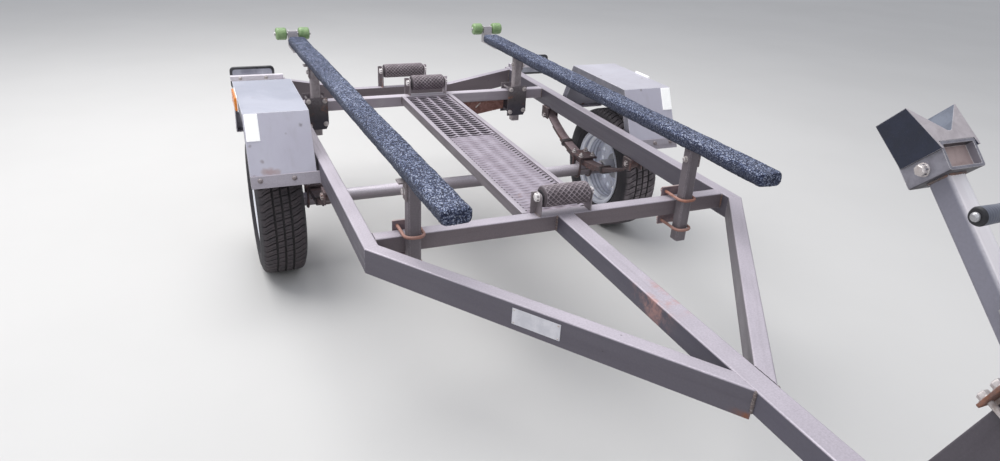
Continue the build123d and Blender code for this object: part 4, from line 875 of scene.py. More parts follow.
        for k in range(3):
            o1, o2 = [a for a in range(3) if a != k]
            for s in (-1, 1):
                loop = []
                for s1, s2 in ((-1, -1), (1, -1), (1, 1), (-1, 1)):
                    key = [0, 0, 0]; key[k] = s; key[o1] = s1; key[o2] = s2
                    loop.append(idx[(*key, k)])
                quad(loop)
            for s1 in (-1, 1):
                for s2 in (-1, 1):
                    a, e = [0, 0, 0], [0, 0, 0]
                    a[k], e[k] = -1, 1
                    a[o1] = e[o1] = s1
                    a[o2] = e[o2] = s2
                    quad([idx[(*a, o1)], idx[(*e, o1)], idx[(*e, o2)], idx[(*a, o2)]])
        for x in (-1, 1):
            for y in (-1, 1):
                for z in (-1, 1):
                    quad([idx[(x, y, z, 0)], idx[(x, y, z, 1)], idx[(x, y, z, 2)]])
        self.add(np.array(verts) @ R + np.asarray(c, float), faces, mat)

    def weld(self, pts, r=0.0042, step=0.0034, seed=1):
        """A ripple-surfaced weld bead along straight runs between points."""
        rs = np.random.RandomState(seed)
        p = [np.array(q, float) for q in pts]
        out = []
        for a, b in zip(p, p[1:]):
            L = np.linalg.norm(b - a)
            m = max(3, int(L / step) * 2)
            for k in range(m + (b is p[-1])):
                out.append(a + (b - a) * k / m)
        out = np.array(out)
        out += rs.normal(0, r * 0.07, out.shape)
        k = np.arange(len(out))
        rad = r * (1 + 0.16 * np.where(k % 2 == 0, 1, -1) + rs.normal(0, 0.06, len(out)))
        rad[0] *= 0.5; rad[-1] *= 0.5
        self.tube(out, r, 8, 0, radii=rad)

    def make(self, name, body, slot, mats, smooth=30.0, replaces=()):
        me = bpy.data.meshes.new(name)
        me.from_pydata([tuple(q) for q in np.vstack(self.v)], [], self.f)
        for m in mats:
            me.materials.append(m)
        me.polygons.foreach_set("material_index", self.mi)
        me.update()
        return finish_piece(me, name, body, smooth, replaces)


def finish_piece(me, name, body, smooth=30.0, replaces=()):
    o = bpy.data.objects.new(name, me)
    scene.collection.objects.link(o)
    if smooth:
        me.shade_smooth()
        if smooth < 180:
            me.set_sharp_from_angle(angle=math.radians(smooth))
    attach(o, body)
    if replaces:
        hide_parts(*replaces)
    return o


def grid_faces(nu, nv, wrap_u=False, wrap_v=False):
    """Quads of an nu by nv grid, u major."""
    iu = np.arange(nu if wrap_u else nu - 1)
    iv = np.arange(nv if wrap_v else nv - 1)
    a, b = np.meshgrid(iu, iv, indexing="ij")
    a, b = a.ravel(), b.ravel()
    a2, b2 = (a + 1) % nu, (b + 1) % nv
    return np.stack([a * nv + b, a2 * nv + b, a2 * nv + b2, a * nv + b2], 1)


def big_mesh(name, co, quads, mats, mi=None):
    me = bpy.data.meshes.new(name)
    me.vertices.add(len(co))
    me.vertices.foreach_set("co", np.asarray(co, np.float32).ravel())
    n = len(quads)
    me.loops.add(4 * n)
    me.loops.foreach_set("vertex_index", np.asarray(quads, np.int32).ravel())
    me.polygons.add(n)
    me.polygons.foreach_set("loop_start", np.arange(n, dtype=np.int32) * 4)
    for m in mats:
        me.materials.append(m)
    if mi is not None:
        me.polygons.foreach_set("material_index", np.asarray(mi, np.int32))
    me.update(calc_edges=True)
    me.validate()
    return me


def face_out(me, centre_line_test):
    """Turns the mesh over if the given test value is negative."""
    if centre_line_test < 0:
        me.flip_normals()


# ------------------------------------------------------------------ CAD nodes and their finishes
FINISH = {
    "axle_beam": "axle", "axle_u_bolts": "spring", "bow_stop_arm": "bow_arm",
    "bow_stop_block": "bow", "bow_stop_bracket": "bow_box", "bunk_angle_brackets": "bracket",
    "bunk_posts": "frame_post", "bunk_roller_brackets": "roller_bracket", "caster_fork": "zinc",
    "coupler": "zinc", "coupler_lever": "zinc", "drawbar": "drawbar",
    "fender_brackets": "lip", "front_cross_member": "frame_x",
    "front_keel_roller": "keel_plain", "front_post_clamps": "rusty", "jack_clamp": "zinc",
    "jack_crank": "zinc", "jack_inner_tube": "zinc", "jack_outer_tube": "zinc",
    "jockey_wheel": "jockey", "keel_roller_brackets": "keel_bracket", "leaf_springs": "spring",
    "left_bunk": "carpet_left", "right_bunk": "carpet_right", "left_drawbar_arm": "arm_left",
    "right_drawbar_arm": "arm_right", "left_fender": "fender", "right_fender": "fender",
    "left_hub": "zinc", "right_hub": "zinc", "left_inner_bunk_roller": "green",
    "right_inner_bunk_roller": "green", "left_outer_bunk_roller": "green",
    "right_outer_bunk_roller": "green", "left_side_rail": "frame_y",
    "right_side_rail": "frame_y", "left_tyre": "tyre_left", "right_tyre": "tyre_right",
    "left_wheel_rim": "rim", "right_wheel_rim": "rim", "middle_keel_roller": "keel_plain",
    "rear_cross_member": "rear_cross", "rear_dropped_member": "frame_x",
    "rear_keel_roller": "keel_plain", "rear_post_clamps": "plate", "side_markers": "amber_lens",
    "spring_hangers": "spring", "tail_lamp_bars": "lamp_bar", "tail_lamps": "black_plastic",
    "walkway_grating": "grating", "walkway_plank": "plank", "walkway_side_members": "walk",
    "winch_crank": "zinc", "winch_drum": "zinc", "winch_frame": "zinc", "winch_grip": "grip",
    "winch_post": "winch_post",
}
for name, o in NODES.items():
    m = M[FINISH[name]]
    if not o.material_slots:
        o.data.materials.append(m)
    for s in o.material_slots:
        s.material = m


# ------------------------------------------------------------------ tyres
def make_tyre(side, cx):
    CY, CZ = 1.0, 0.289
    pitch_n = 62
    fr = np.array([0.0, 0.020, 0.032, 0.210, 0.226, 0.500, 0.512, 0.556, 0.568])
    nf = len(fr)
    cols = (np.arange(pitch_n)[:, None] + fr[None, :]).ravel() / pitch_n   # turns
    frc = np.tile(fr, pitch_n)
    deep_col = (frc > 0.025) & (frc < 0.215)
    sipe_col = (frc > 0.505) & (frc < 0.560)
    tread_s = [3.6, 4.4, 10, 18, 26.6, 27.4, 31, 34.6, 35.4, 43, 51, 59, 66]
    tread = sorted([-s for s in tread_s] + [0.0] + tread_s)

    def crown(s):
        a = abs(s)
        return 289 - 0.8 * (a / 52) ** 2 if a <= 52 else 288.2 - 3.2 * ((a - 52) / 14) ** 1.4

    wall = [(71.5, 283.0), (76.0, 279.4), (79.0, 276.0), (80.6, 272.0), (82.2, 268.0),
            (83.8, 263.0), (85.0, 258.0), (87.0, 253.5), (88.0, 250.5), (87.4, 249.6),
            (88.6, 243.0), (89.2, 235.0), (89.2, 227.0), (88.2, 219.0), (86.4, 212.5),
            (87.0, 211.6), (86.6, 206.4), (84.6, 205.4), (82.0, 201.5), (79.6, 197.0),
            (76.2, 191.6), (71.0, 187.6), (65.0, 184.2), (64.6, 167.2)]
    inner = [(48, 166.6), (55, 190), (66, 214), (74, 236), (70, 260), (60, 274.4), (0, 277)]
    rows = [(-s, r) for s, r in reversed(wall)] + [(s, crown(s)) for s in tread] + wall
    rows += [(s, r) for s, r in inner] + [(-s, r) for s, r in reversed(inner[:-1])]
    rows = np.array(rows)
    nr = len(rows)
    s = rows[:, 0][:, None]
    r = np.repeat(rows[:, 1][:, None], len(cols), 1)
    outer = np.zeros(nr, bool); outer[:2 * len(wall) + len(tread)] = True
    a = np.abs(s)
    groove = (np.abs(a - 31) < 4.0) | (a < 4.0)
    is_tread = (a <= 66.5) & outer[:, None] & (r > 280)
    depth = np.zeros_like(r)
    depth = np.where(is_tread & groove, 6.6, depth)
    rib_c = is_tread & (a > 4) & (a < 27)
    rib_s = is_tread & (a > 35)
    depth = np.where(rib_c & (sipe_col | deep_col)[None, :] & (frc[None, :] < 1), 3.0, depth)
    depth = np.where(rib_c & deep_col[None, :], 4.8, depth)
    depth = np.where(rib_s & deep_col[None, :], np.where(a > 43, 6.4, 4.8), depth)
    depth = np.where(rib_s & sipe_col[None, :], 2.6, depth)
    shoulder = outer[:, None] & (a > 66.5) & (r > 266)
    depth = np.where(shoulder & deep_col[None, :], 4.6 * (r - 266) / 19 + 0.5, depth)
    shear = (s / 66.0) * 0.50 + np.sign(s) * 0.30 * np.clip((a - 35) / 31, 0, 1) ** 2
    shear = np.where(outer[:, None], np.clip(shear, -0.85, 0.85), 0.0)
    fade = np.clip((r - 225) / 45, 0, 1)
    th = 2 * PI * (cols[None, :] + shear * fade / pitch_n)
    rs = np.random.RandomState(5)
    rr = (r - depth) / 1000.0 + np.where(is_tread, -np.abs(rs.normal(0, 0.00026, r.shape)), 0)
    sx = s / 1000.0 + np.zeros_like(r)
    co = np.stack([cx + sx, CY + rr * np.sin(th), CZ + rr * np.cos(th)], -1).reshape(-1, 3)
    q = grid_faces(nr, len(cols), True, True)
    me = big_mesh(f"{side}_tyre_tread", co, q, [M[f"tyre_{side}"]])
    # outward check on one tread face
    p = me.polygons[(len(wall) + 3) * len(cols)]
    c, n = np.array(p.center), np.array(p.normal)
    if np.dot(n, c - np.array((c[0], CY, CZ))) < 0:
        me.flip_normals()
    return finish_piece(me, f"{side}_tyre_tread", f"{side}_wheel", 34,
                        (f"{side}_tyre",))


make_tyre("right", -0.803)
make_tyre("left", 0.803)


# ------------------------------------------------------------------ carpeted bunks
BUNKS = {"right": ((-0.499, -0.372, 0.808), (-0.558, 1.851, 0.798)),
         "left": ((0.439, -0.405, 0.816), (0.464, 1.816, 0.789))}


def round_section(w, h, r, n):
    """n points round a rounded rectangle, centred, evenly spaced, starting at the right."""
    pts = []
    for cx, cy, a0 in ((w / 2 - r, h / 2 - r, 0), (-w / 2 + r, h / 2 - r, 90),
                       (-w / 2 + r, -h / 2 + r, 180), (w / 2 - r, -h / 2 + r, 270)):
        for k in range(25):
            t = math.radians(a0 + 90 * k / 24)
            pts.append((cx + r * math.cos(t), cy + r * math.sin(t)))
    pts.append(pts[0])
    pts = np.array(pts)
    d = np.concatenate([[0], np.cumsum(np.linalg.norm(np.diff(pts, axis=0), axis=1))])
    t = np.arange(n) / n * d[-1]
    return np.stack([np.interp(t, d, pts[:, 0]), np.interp(t, d, pts[:, 1])], 1)


def smooth_rand(rs, shape, kernel):
    """Random field blurred by a box kernel, wrapped round the second axis."""
    f = rs.normal(0, 1, shape)
    for ax, k in ((0, kernel[0]), (1, kernel[1])):
        acc = np.zeros_like(f)
        for d in range(-k, k + 1):
            acc += np.roll(f, d, axis=ax)
        f = acc / (2 * k + 1)
    return f / f.std()


def make_bunk(side):
    a, b = (np.array(p) for p in BUNKS[side])
    d = b - a; L = np.linalg.norm(d); d /= L
    across = np.array((d[1], -d[0], 0)); across /= np.linalg.norm(across)
    up = np.cross(across, d)
    rs = np.random.RandomState(11 if side == "right" else 23)
    W, HH = 0.0914, 0.0494
    n = 62
    base = a - up * (0.047 / 2 - 0.0013)
    caps = [(-0.0010, 0.04), (-0.0010, 0.30), (-0.0009, 0.54), (-0.0004, 0.73), (0.0008, 0.845),
            (0.0026, 0.912), (0.0058, 0.960), (0.0104, 0.988)]
    mid = np.linspace(0.0150, L - 0.0150, int(L / 0.0044))
    st = [(t, s) for t, s in caps] + [(t, 1.0) for t in mid] + \
         [(L - t, s) for t, s in reversed(caps)]
    st = np.array(st)
    m = len(st)
    sec = round_section(W, HH, 0.0195, n)
    nrm = np.roll(sec, -1, 0) - np.roll(sec, 1, 0)
    nrm = np.stack([nrm[:, 1], -nrm[:, 0]], 1)
    nrm /= np.linalg.norm(nrm, axis=1)[:, None]
    rough = np.abs(rs.normal(0, 0.00078, (m, n)))
    lump = (smooth_rand(rs, (m, n), (9, 4)) * 0.00042 + 0.0010).clip(0, 0.0022)
    lump += (smooth_rand(rs, (m, n), (22, 8)) * 0.0009 + 0.0011).clip(0, 0.0030)
    # inward offset of the surface: fine roughness plus lumps
    inn = rough + lump
    xy = sec[None, :, :] * st[:, 1][:, None, None] - nrm[None, :, :] * inn[..., None] * \
        np.minimum(1, st[:, 1])[:, None, None]
    t = st[:, 0][:, None] + np.where(st[:, 1][:, None] < 0.95, np.where(
        st[:, 0][:, None] < L / 2, 1, -1) * rough * 0.9, 0)
    co = base + t[..., None] * d + xy[..., 0][..., None] * across + xy[..., 1][..., None] * up
    quads = grid_faces(m, n, False, True)
    co = co.reshape(-1, 3)
    # close both ends with a small quad fan of pairs
    ends = []
    for row in (0, m - 1):
        c = len(co)
        co = np.vstack([co, co[row * n:(row + 1) * n].mean(0)[None, :]])
        for j in range(0, n, 2):
            q = [row * n + j, row * n + (j + 1) % n, row * n + (j + 2) % n, c]
            ends.append(q if row == 0 else q[::-1])
    quads = np.vstack([quads, np.array(ends)])
    me = big_mesh(f"{side}_bunk_carpet", co, quads, [M[f"carpet_{side}"]])
    p = me.polygons[(m // 2) * n + 3]
    c = np.array(p.center); k = base + np.dot(c - base, d) * d
    if np.dot(np.array(p.normal), c - k) < 0:
        me.flip_normals()
    o = finish_piece(me, f"{side}_bunk_carpet", "chassis", 180, (f"{side}_bunk",))
    return o


make_bunk("right")
make_bunk("left")


# ------------------------------------------------------------------ keel rollers
KEEL = (("front", 0.005, 0.636, 0.164), ("middle", 1.480, 0.633, 0.162),
        ("rear", 1.913, 0.592, 0.216))
for name, y, z, L in KEEL:
    mat = keel_material(f"keel_rubber_{name}", y, z)
    nv = 120
    xs = np.concatenate([[-L / 2] * 1, np.linspace(-L / 2, -L / 2 + 0.007, 4),
                         np.linspace(-L / 2 + 0.009, L / 2 - 0.009, int(L / 0.0019)),
                         np.linspace(L / 2 - 0.007, L / 2, 4), [L / 2]])
    ph = np.arange(nv) / nv * 2 * PI
    X, P = np.meshgrid(xs, ph, indexing="ij")
    lines = 13

    def ridge(v):
        f = np.abs(v - np.round(v)) * 2
        return np.clip(1 - f / 0.34, 0, 1)

    ua = X / 0.0185 + P / (2 * PI) * lines
    ub = X / 0.0185 - P / (2 * PI) * lines
    hgt = np.maximum(ridge(ua), ridge(ub)) ** 0.8
    body = np.clip((L / 2 - 0.0065 - np.abs(X)) / 0.002, 0, 1)
    R = 0.0334 + 0.0026 * hgt
    R = R * body + (1 - body) * 0.0352
    e = L / 2 - np.abs(X)
    R = np.where(e < 0.0065, 0.0300 + 0.0052 * np.sqrt(np.clip(e / 0.0065, 0, 1)), R)
    R[0, :] = R[-1, :] = 0.0102
    co = np.stack([X, y + R * np.cos(P), z + R * np.sin(P)], -1).reshape(-1, 3)
    q = grid_faces(len(xs), nv, False, True)
    # bore
    m0 = (len(xs) - 1) * nv
    bore = np.stack([m0 + np.arange(nv), m0 + (np.arange(nv) + 1) % nv, (np.arange(nv) + 1) % nv,
                     np.arange(nv)], 1)
    me = big_mesh(f"{name}_keel_roller_knurled", co, np.vstack([q, bore]), [mat])
    p = me.polygons[(len(xs) // 2) * nv]
    c = np.array(p.center)
    if np.dot(np.array(p.normal), c - np.array((c[0], y, z))) < 0:
        me.flip_normals()
    finish_piece(me, f"{name}_keel_roller_knurled", f"{name}_keel_roller", 50,
                 (f"{name}_keel_roller",))


# ------------------------------------------------------------------ bunk end rollers
GREEN = (("right_outer", -0.627), ("right_inner", -0.517), ("left_inner", 0.414),
         ("left_outer", 0.525))
for name, x in GREEN:
    g = Mesh()
    prof = [(-0.027, 0.0083), (-0.027, 0.0140), (-0.0262, 0.0150), (-0.0262, 0.0215),
            (-0.0255, 0.0238), (-0.0230, 0.0272), (-0.0205, 0.0291), (-0.0170, 0.0298)]
    for k in range(7):
        c = -0.0135 + k * 0.0045
        prof += [(c - 0.0014, 0.0300), (c - 0.0007, 0.02935), (c + 0.0007, 0.02935),
                 (c + 0.0014, 0.0300)]
    prof += [(-a, r) for a, r in prof[7::-1]]
    prof.append(prof[0])
    g.lathe(prof, (x, 1.887, 0.806), (1, 0, 0), 56)
    o = g.make(f"{name}_bunk_roller_ribbed", f"{name}_roller" if False else
               {"right_outer": "right_outer_roller", "right_inner": "right_inner_roller",
                "left_inner": "left_inner_roller", "left_outer": "left_outer_roller"}[name],
               "green_roller", [M["green"]], 40, (f"{name}_bunk_roller",))
    me = o.data
    p = me.polygons[56 * 10]
    c = np.array(p.center)
    if np.dot(np.array(p.normal), c - np.array((c[0], 1.887, 0.806))) < 0:
        me.flip_normals()


# ------------------------------------------------------------------ walkway sheets
def scalloped(name, node, y0, y1, z_top, amp, mats, cusp, pitch=0.0150, thick=0.0022,
              side_slots=False, bend=0.0050, gap_arc=0.45):
    x0, x1 = -0.1138, 0.1008
    xs = np.linspace(x0, x1, 97)
    u = (xs + 0.0635) / 0.0525
    arc = np.abs(np.sin(PI * u))
    f = np.array([0.0, 0.03, 0.13, 0.20, 0.36, 0.58, 0.80, 0.97])
    rows = int(round((y1 - y0) / pitch))
    pitch = (y1 - y0) / rows
    prof = np.array([-amp, -amp * 0.96, 0.0, 0.0, -amp * 0.22, -amp * 0.55, -amp * 0.82, -amp])
    F = np.tile(f, rows)
    Z = np.tile(prof, rows)
    Yb = (np.repeat(np.arange(rows), len(f)) + F) * pitch
    Y = y0 + Yb[:, None] + bend * (1 - arc[None, :])
    lim = y1 - 0.0004
    Y = np.minimum(Y, lim)
    Zf = Z[:, None] * (0.40 + 0.60 * arc[None, :]) + cusp * np.clip(1 - arc[None, :] * 2.2, 0, 1) * \
        (1 + Z[:, None] / max(amp, 1e-9))
    Zt = z_top + Zf
    last = np.full((1, len(xs)), lim)
    first = np.full((1, len(xs)), y0)
    Y = np.vstack([first, Y, last])
    Zt = np.vstack([np.full((1, len(xs)), z_top - amp), Zt, np.full((1, len(xs)), z_top - amp)])
    X = np.repeat(xs[None, :], len(Y), 0)
    top = np.stack([X, Y, Zt], -1)
    low = top.copy(); low[..., 2] -= thick
    m, n = X.shape
    qt = grid_faces(m, n)
    dark = np.zeros((m - 1, n - 1), int)
    for k in range(rows):
        i = 1 + k * len(f)
        # dark painted-shade faces below each lip stand in for openings, none at the ridges between
        # the columns
        painted_shade_here = arc[:-1] > gap_arc
        dark[i, painted_shade_here] = 1
        dark[i + 1, painted_shade_here] = 1
    # side slots: dark faces as painted shade in place of openings
    if side_slots:
        dark[:] = 0
        for k in range(rows):
            i = 1 + k * len(f)
            dark[i + 1:i + 4, n - 10:n - 2] = 1
            dark[i + 1, 1:4] = 1
    ql = grid_faces(m, n)[:, ::-1] + m * n
    rim = []
    for i in range(m - 1):
        rim.append((i * n, i * n + m * n, (i + 1) * n + m * n, (i + 1) * n))
        a, b = i * n + n - 1, (i + 1) * n + n - 1
        rim.append((a, b, b + m * n, a + m * n))
    for j in range(n - 1):
        rim.append((j, j + 1, j + 1 + m * n, j + m * n))
        a, b = (m - 1) * n + j, (m - 1) * n + j + 1
        rim.append((a, a + m * n, b + m * n, b))
    co = np.vstack([top.reshape(-1, 3), low.reshape(-1, 3)])
    quads = np.vstack([qt, ql, np.array(rim)])
    mi = np.concatenate([dark.ravel(), np.zeros(len(ql) + len(rim), int)])
    me = big_mesh(name, co, quads, mats, mi)
    if me.polygons[(m // 2 // 8 * 8 + 5) * (n - 1) + 3].normal.z < 0:
        me.flip_normals()
    return finish_piece(me, name, "chassis", 40, (node,))


scalloped("walkway_grating_scalloped", "walkway_grating", 0.822, 1.4536, 0.5705,
          0.0056, [M["grating"], M["mesh_shadow"]], 0.0006, pitch=0.0281, bend=0.0090,
          gap_arc=0.30)
scalloped("walkway_plank_pressed", "walkway_plank", 0.0264, 0.820, 0.5715,
          0.0028, [M["plank"], M["gap"]], 0.0000, pitch=0.0226, bend=0.0070, side_slots=True)


# ------------------------------------------------------------------ trim
def vec(*v):
    return np.array(v, float)


def bunk_top_z(side, y):
    a, b = BUNKS[side]
    f = (y - a[1]) / (b[1] - a[1])
    return a[2] + f * (b[2] - a[2])


POSTS = (("right", -0.514, -0.040, "front"), ("left", 0.441, -0.040, "front"),
         ("right", -0.547, 1.434, "rear"), ("left", 0.460, 1.434, "rear"))


def arm_pt(x, n, a):
    return vec(x, -1.180 - H * n + H * a, 1.136 + H * n + H * a)


ARM_N, ARM_A = vec(0, -H, H), vec(0, H, H)

# bolts: heads and nuts on washers over the plain hexagons of the frame
g = Mesh()
for s in (-1, 1):
    for e in (-1, 1):
        for f in (-1, 1):
            x, y = s * 0.6425 + e * 0.031, 1.0 + f * 0.0345
            g.hexhead((x, y, 0.3686), (0, 0, 1), 0.0177, 0.0096, washer=0.0122)
            g.lathe([(0, 0.0052), (0.0080, 0.0052), (0.0088, 0.0044), (0.0088, 0)],
                    (x, y, 0.3780), (0, 0, 1), 14)
        for y, z in ((0.582, 0.471), (1.385, 0.452)):
            g.hexhead((s * 0.6425 + e * 0.0285, y, z), (e, 0, 0), 0.0227, 0.0096)
g.make("axle_and_spring_nuts", "chassis", "spring_steel", [M["bolt"]], 25)

g = Mesh()
for side, x, y, where in POSTS:
    if where == "front":
        for z in (0.590, 0.481):
            for e in (-1, 1):
                g.hexhead((x + e * 0.030, 0.0322, z), (0, 1, 0), 0.0196, 0.0108, washer=0.0125)
                g.lathe([(0, 0.0052), (0.0066, 0.0052), (0.0072, 0.0042), (0.0072, 0)],
                        (x + e * 0.030, 0.0430, z), (0, 1, 0), 12)
    else:
        for bx, bz in ((-0.037, 0.474), (0.037, 0.481), (-0.037, 0.590), (0.037, 0.590)):
            g.hexhead((x + bx, 1.4078, bz), (0, -1, 0), 0.0178, 0.0086, washer=0.0118)
            g.hexhead((x + bx, 1.5052, bz), (0, 1, 0), 0.0178, 0.0098, washer=0.0118)
    e = -1 if side == "right" else 1
    top = bunk_top_z(side, y) - 0.0476
    g.hexhead((x + e * 0.025, y, top - 0.034), (e, 0, 0), 0.0168, 0.0076, washer=0.0108)
    g.hexhead((x - e * 0.020, y, top - 0.034), (-e, 0, 0), 0.0150, 0.0085, washer=0.0108)
g.make("post_clamp_bolts", "chassis", "rusty_bolts", [M["bolt"]], 25)

g = Mesh()
for y, z, inner in ((0.005, 0.636, 0.088), (1.480, 0.633, 0.087), (1.913, 0.592, 0.1135)):
    for e in (-1, 1):
        g.hexhead((e * (inner + 0.004), y, z), (e, 0, 0), 0.0247, 0.0106, washer=0.0150)
g.make("keel_roller_bolts", "chassis", "spring_steel", [M["bright_bolt"]], 25)

# rubber collars at the ends of the keel rollers
for name, y, z, L in KEEL:
    g = Mesh()
    for e in (-1, 1):
        g.lathe([(-0.0004, 0.0104), (-0.0004, 0.0235), (0.0010, 0.0240), (0.0022, 0.0225),
                 (0.0022, 0.0104)], (e * L / 2, y, z), (e, 0, 0), 28)
    g.make(f"{name}_keel_roller_collars", f"{name}_keel_roller", "keel_rubber",
           [M["keel_plain"]], 30)

# fenders: bolts in the lower lips, reflectors on the sloping ends
SLOPE = (0.355 - 0.237) / 0.242
LEAN = math.sqrt(1 + SLOPE ** 2)


def fender_pt(x, z, f, off=0.0):
    """Point on a fender's sloping end (f -1 front, 1 rear), off outward."""
    return vec(x, 1.0 + f * (0.237 + (0.742 - z) * SLOPE + off * 1.0 / LEAN),
               z + off * SLOPE / LEAN)


g = Mesh()
for s, xs in ((-1, (0.876, 0.757)), (1, (0.876, 0.795, 0.712))):
    for x in xs:
        for f in (-1, 1):
            n = vec(0, f, SLOPE) / LEAN
            q = fender_pt(s * x, 0.523, f, 0.0052)
            g.lathe([(-0.0004, 0), (-0.0004, 0.0098), (0.0010, 0.0098), (0.0013, 0.0088),
                     (0.0015, 0.0072), (0.0034, 0.0064), (0.0048, 0.0042), (0.0052, 0)], q, n, 18)
g.make("fender_bracket_bolts", "chassis", "bracket_steel", [M["bracket"]], 25)

g = Mesh()
for s in (-1, 1):
    for f in (-1, 1):
        n = vec(0, f, SLOPE) / LEAN
        t = vec(0, -f * SLOPE, 1) / LEAN
        for zc, hz, mi in (((0.651 + 0.740) / 2, 0.049, 0 if f < 0 else 2),):
            c = fender_pt(s * (0.8805 if s < 0 else 0.8845), zc, f, 0.0010)
            g.obox(c, (0.0235, hz, 0.0011), (vec(1, 0, 0), t, n), 1, 0.0006)
            g.obox(c + n * 0.0011, (0.0220, hz - 0.0015, 0.0010), (vec(1, 0, 0), t, n), mi, 0.0007)
            for k in range(9):
                q = c + n * 0.0019 + t * (-hz + 0.010 + k * (2 * hz - 0.020) / 8)
                g.obox(q, (0.0205, 0.0012, 0.0005), (vec(1, 0, 0), t, n), mi, 0.0003)
g.make("fender_reflectors", "chassis", "marker_lens",
       [M["reflector"], M["reflector"], M["red_lens"]], 25)

# side markers: lens on a dark base
g = Mesh()
for s, y0, y1, mi in ((-1, 0.960, 1.110, 1), (1, 0.933, 1.042, 2)):
    x = [s * 0.908, s * 0.9105]
    g.box((min(x), y0, 0.692), (max(x), y1, 0.750), 0, 0.0008)
    x = [s * 0.9105, s * 0.9196]
    g.box((min(x), y0 + 0.0025, 0.6945), (max(x), y1 - 0.0025, 0.7475), mi, 0.0030)
    m = int((y1 - y0 - 0.012) / 0.0052)
    for k in range(m + 1):
        y = y0 + 0.006 + k * (y1 - y0 - 0.012) / m
        x = [s * 0.9194, s * 0.9200]
        g.box((min(x), y - 0.0012, 0.699), (max(x), y + 0.0012, 0.743), mi, 0.0003)
g.make("side_marker_lamps", "chassis", "marker_lens",
       [M["reflector"], M["amber_lens"], M["reflector"]], 25, ("side_markers",))

# blank plate on the right drawbar arm
K = vec(-0.665, -0.069, 0.0)
D = vec(-0.030, -0.952, 0.0) - K
D /= np.linalg.norm(D)
OUT = vec(-abs(D[1]), -abs(D[0]), 0.0)
g = Mesh()
c = K + D * 0.5565 + vec(0, 0, 0.5395)
g.obox(c + OUT * 0.0008, (0.0685, 0.0235, 0.0008), (D, vec(0, 0, 1), OUT), 0, 0.0005)
for a in (-0.0625, 0.0625):
    for b in (-0.0185, 0.0185):
        g.lathe([(0, 0.0026), (0.0008, 0.0025), (0.0015, 0.0016), (0.0018, 0)],
                c + D * a + vec(0, 0, b) + OUT * 0.0015, OUT, 12, 1)
g.make("blank_identification_plate", "chassis", "bracket_steel", [M["plate_blank"], M["bolt"]], 25)

# welds
g = Mesh()
k = 0
for s in (-1, 1):
    runs = [
        [(s * 0.0302, -0.9530, 0.5750), (s * 0.0302, -0.9530, 0.5165)],
        [(s * 0.6198, -0.0205, 0.5740), (s * 0.6198, -0.0205, 0.5225)],
        [(s * 0.6198, 0.0265, 0.5740), (s * 0.6198, 0.0265, 0.5225)],
        [(s * 0.6198, 1.4535, 0.5740), (s * 0.6198, 1.4535, 0.5275)],
        [(s * 0.6198, 1.4995, 0.5740), (s * 0.6198, 1.4995, 0.5275)],
        [(s * 0.6198, 1.8895, 0.5710), (s * 0.6198, 1.8895, 0.4975)],
        [(s * 0.6198, 1.9305, 0.5710), (s * 0.6198, 1.9305, 0.4975)],
        [(s * 0.0303, -0.0205, 0.5740), (s * 0.0303, -0.0205, 0.5220)],
    ]
    for r in runs:
        k += 1
        g.weld(r, 0.0036 if abs(r[0][0]) > 0.1 else 0.0044, seed=k)
for x in (-0.134, -0.114, 0.101, 0.121):
    for y in (0.0262, 1.4538):
        k += 1
        g.weld([(x, y, 0.5745), (x, y, 0.5370)], 0.0022, 0.0026, seed=k)
for y0, y1, inner, foot in ((-0.019, 0.023, 0.088, 0.576), (1.455, 1.497, 0.087, 0.576),
                            (1.891, 1.929, 0.1135, 0.507)):
    for e in (-1, 1):
        k += 1
        x = e * (inner + 0.0044)
        g.weld([(x, y0 + 0.003, foot + 0.0002), (x, y1 - 0.003, foot + 0.0002)], 0.0028, seed=k)
# winch post foot and bow arm
foot = [(-0.0305, -1.2645, 0.5762), (0.0305, -1.2645, 0.5762), (0.0305, -1.3465, 0.5762),
        (-0.0305, -1.3465, 0.5762), (-0.0305, -1.2645, 0.5762)]
g.weld([foot[1], foot[0]], 0.0042, seed=71)
g.weld([(-0.0290, -1.2660, 0.5768), (-0.0290, -1.3450, 0.5768)], 0.0032, seed=72)
g.weld([(0.0290, -1.2660, 0.5768), (0.0290, -1.3450, 0.5768)], 0.0032, seed=73)
POST_UP = vec(0, -0.352, 0.936); POST_UP /= np.linalg.norm(POST_UP)
POST_REAR = vec(0, 0.936, 0.352); POST_REAR /= np.linalg.norm(POST_REAR)
FOOT = vec(0, -1.266, 0.576)


def on_rear(x, n):
    """Where the arm's line at height n meets the post's rear face."""
    p = arm_pt(x, n, 0.0)
    t = np.dot(FOOT - p, POST_REAR) / np.dot(ARM_A, POST_REAR)
    return p + ARM_A * t


g.weld([on_rear(-0.0205, -0.019), on_rear(-0.0205, 0.019)], 0.0036, seed=74)
g.weld([on_rear(0.0205, -0.019), on_rear(0.0205, 0.019)], 0.0036, seed=75)
g.weld([on_rear(-0.019, -0.0205), on_rear(0.019, -0.0205)], 0.0036, seed=76)
# bow bracket to arm
g.weld([arm_pt(-0.0202, -0.018, 0.0068), arm_pt(-0.0202, 0.018, 0.0068)], 0.0026, seed=77)
g.weld([arm_pt(0.0202, -0.018, 0.0068), arm_pt(0.0202, 0.018, 0.0068)], 0.0026, seed=78)
g.weld([arm_pt(-0.018, 0.0202, 0.0068), arm_pt(0.018, 0.0202, 0.0068)], 0.0026, seed=79)
# plate under the rear cross member
g.weld([(0.168, 1.4615, 0.5262), (0.402, 1.4615, 0.5262)], 0.0030, seed=80)
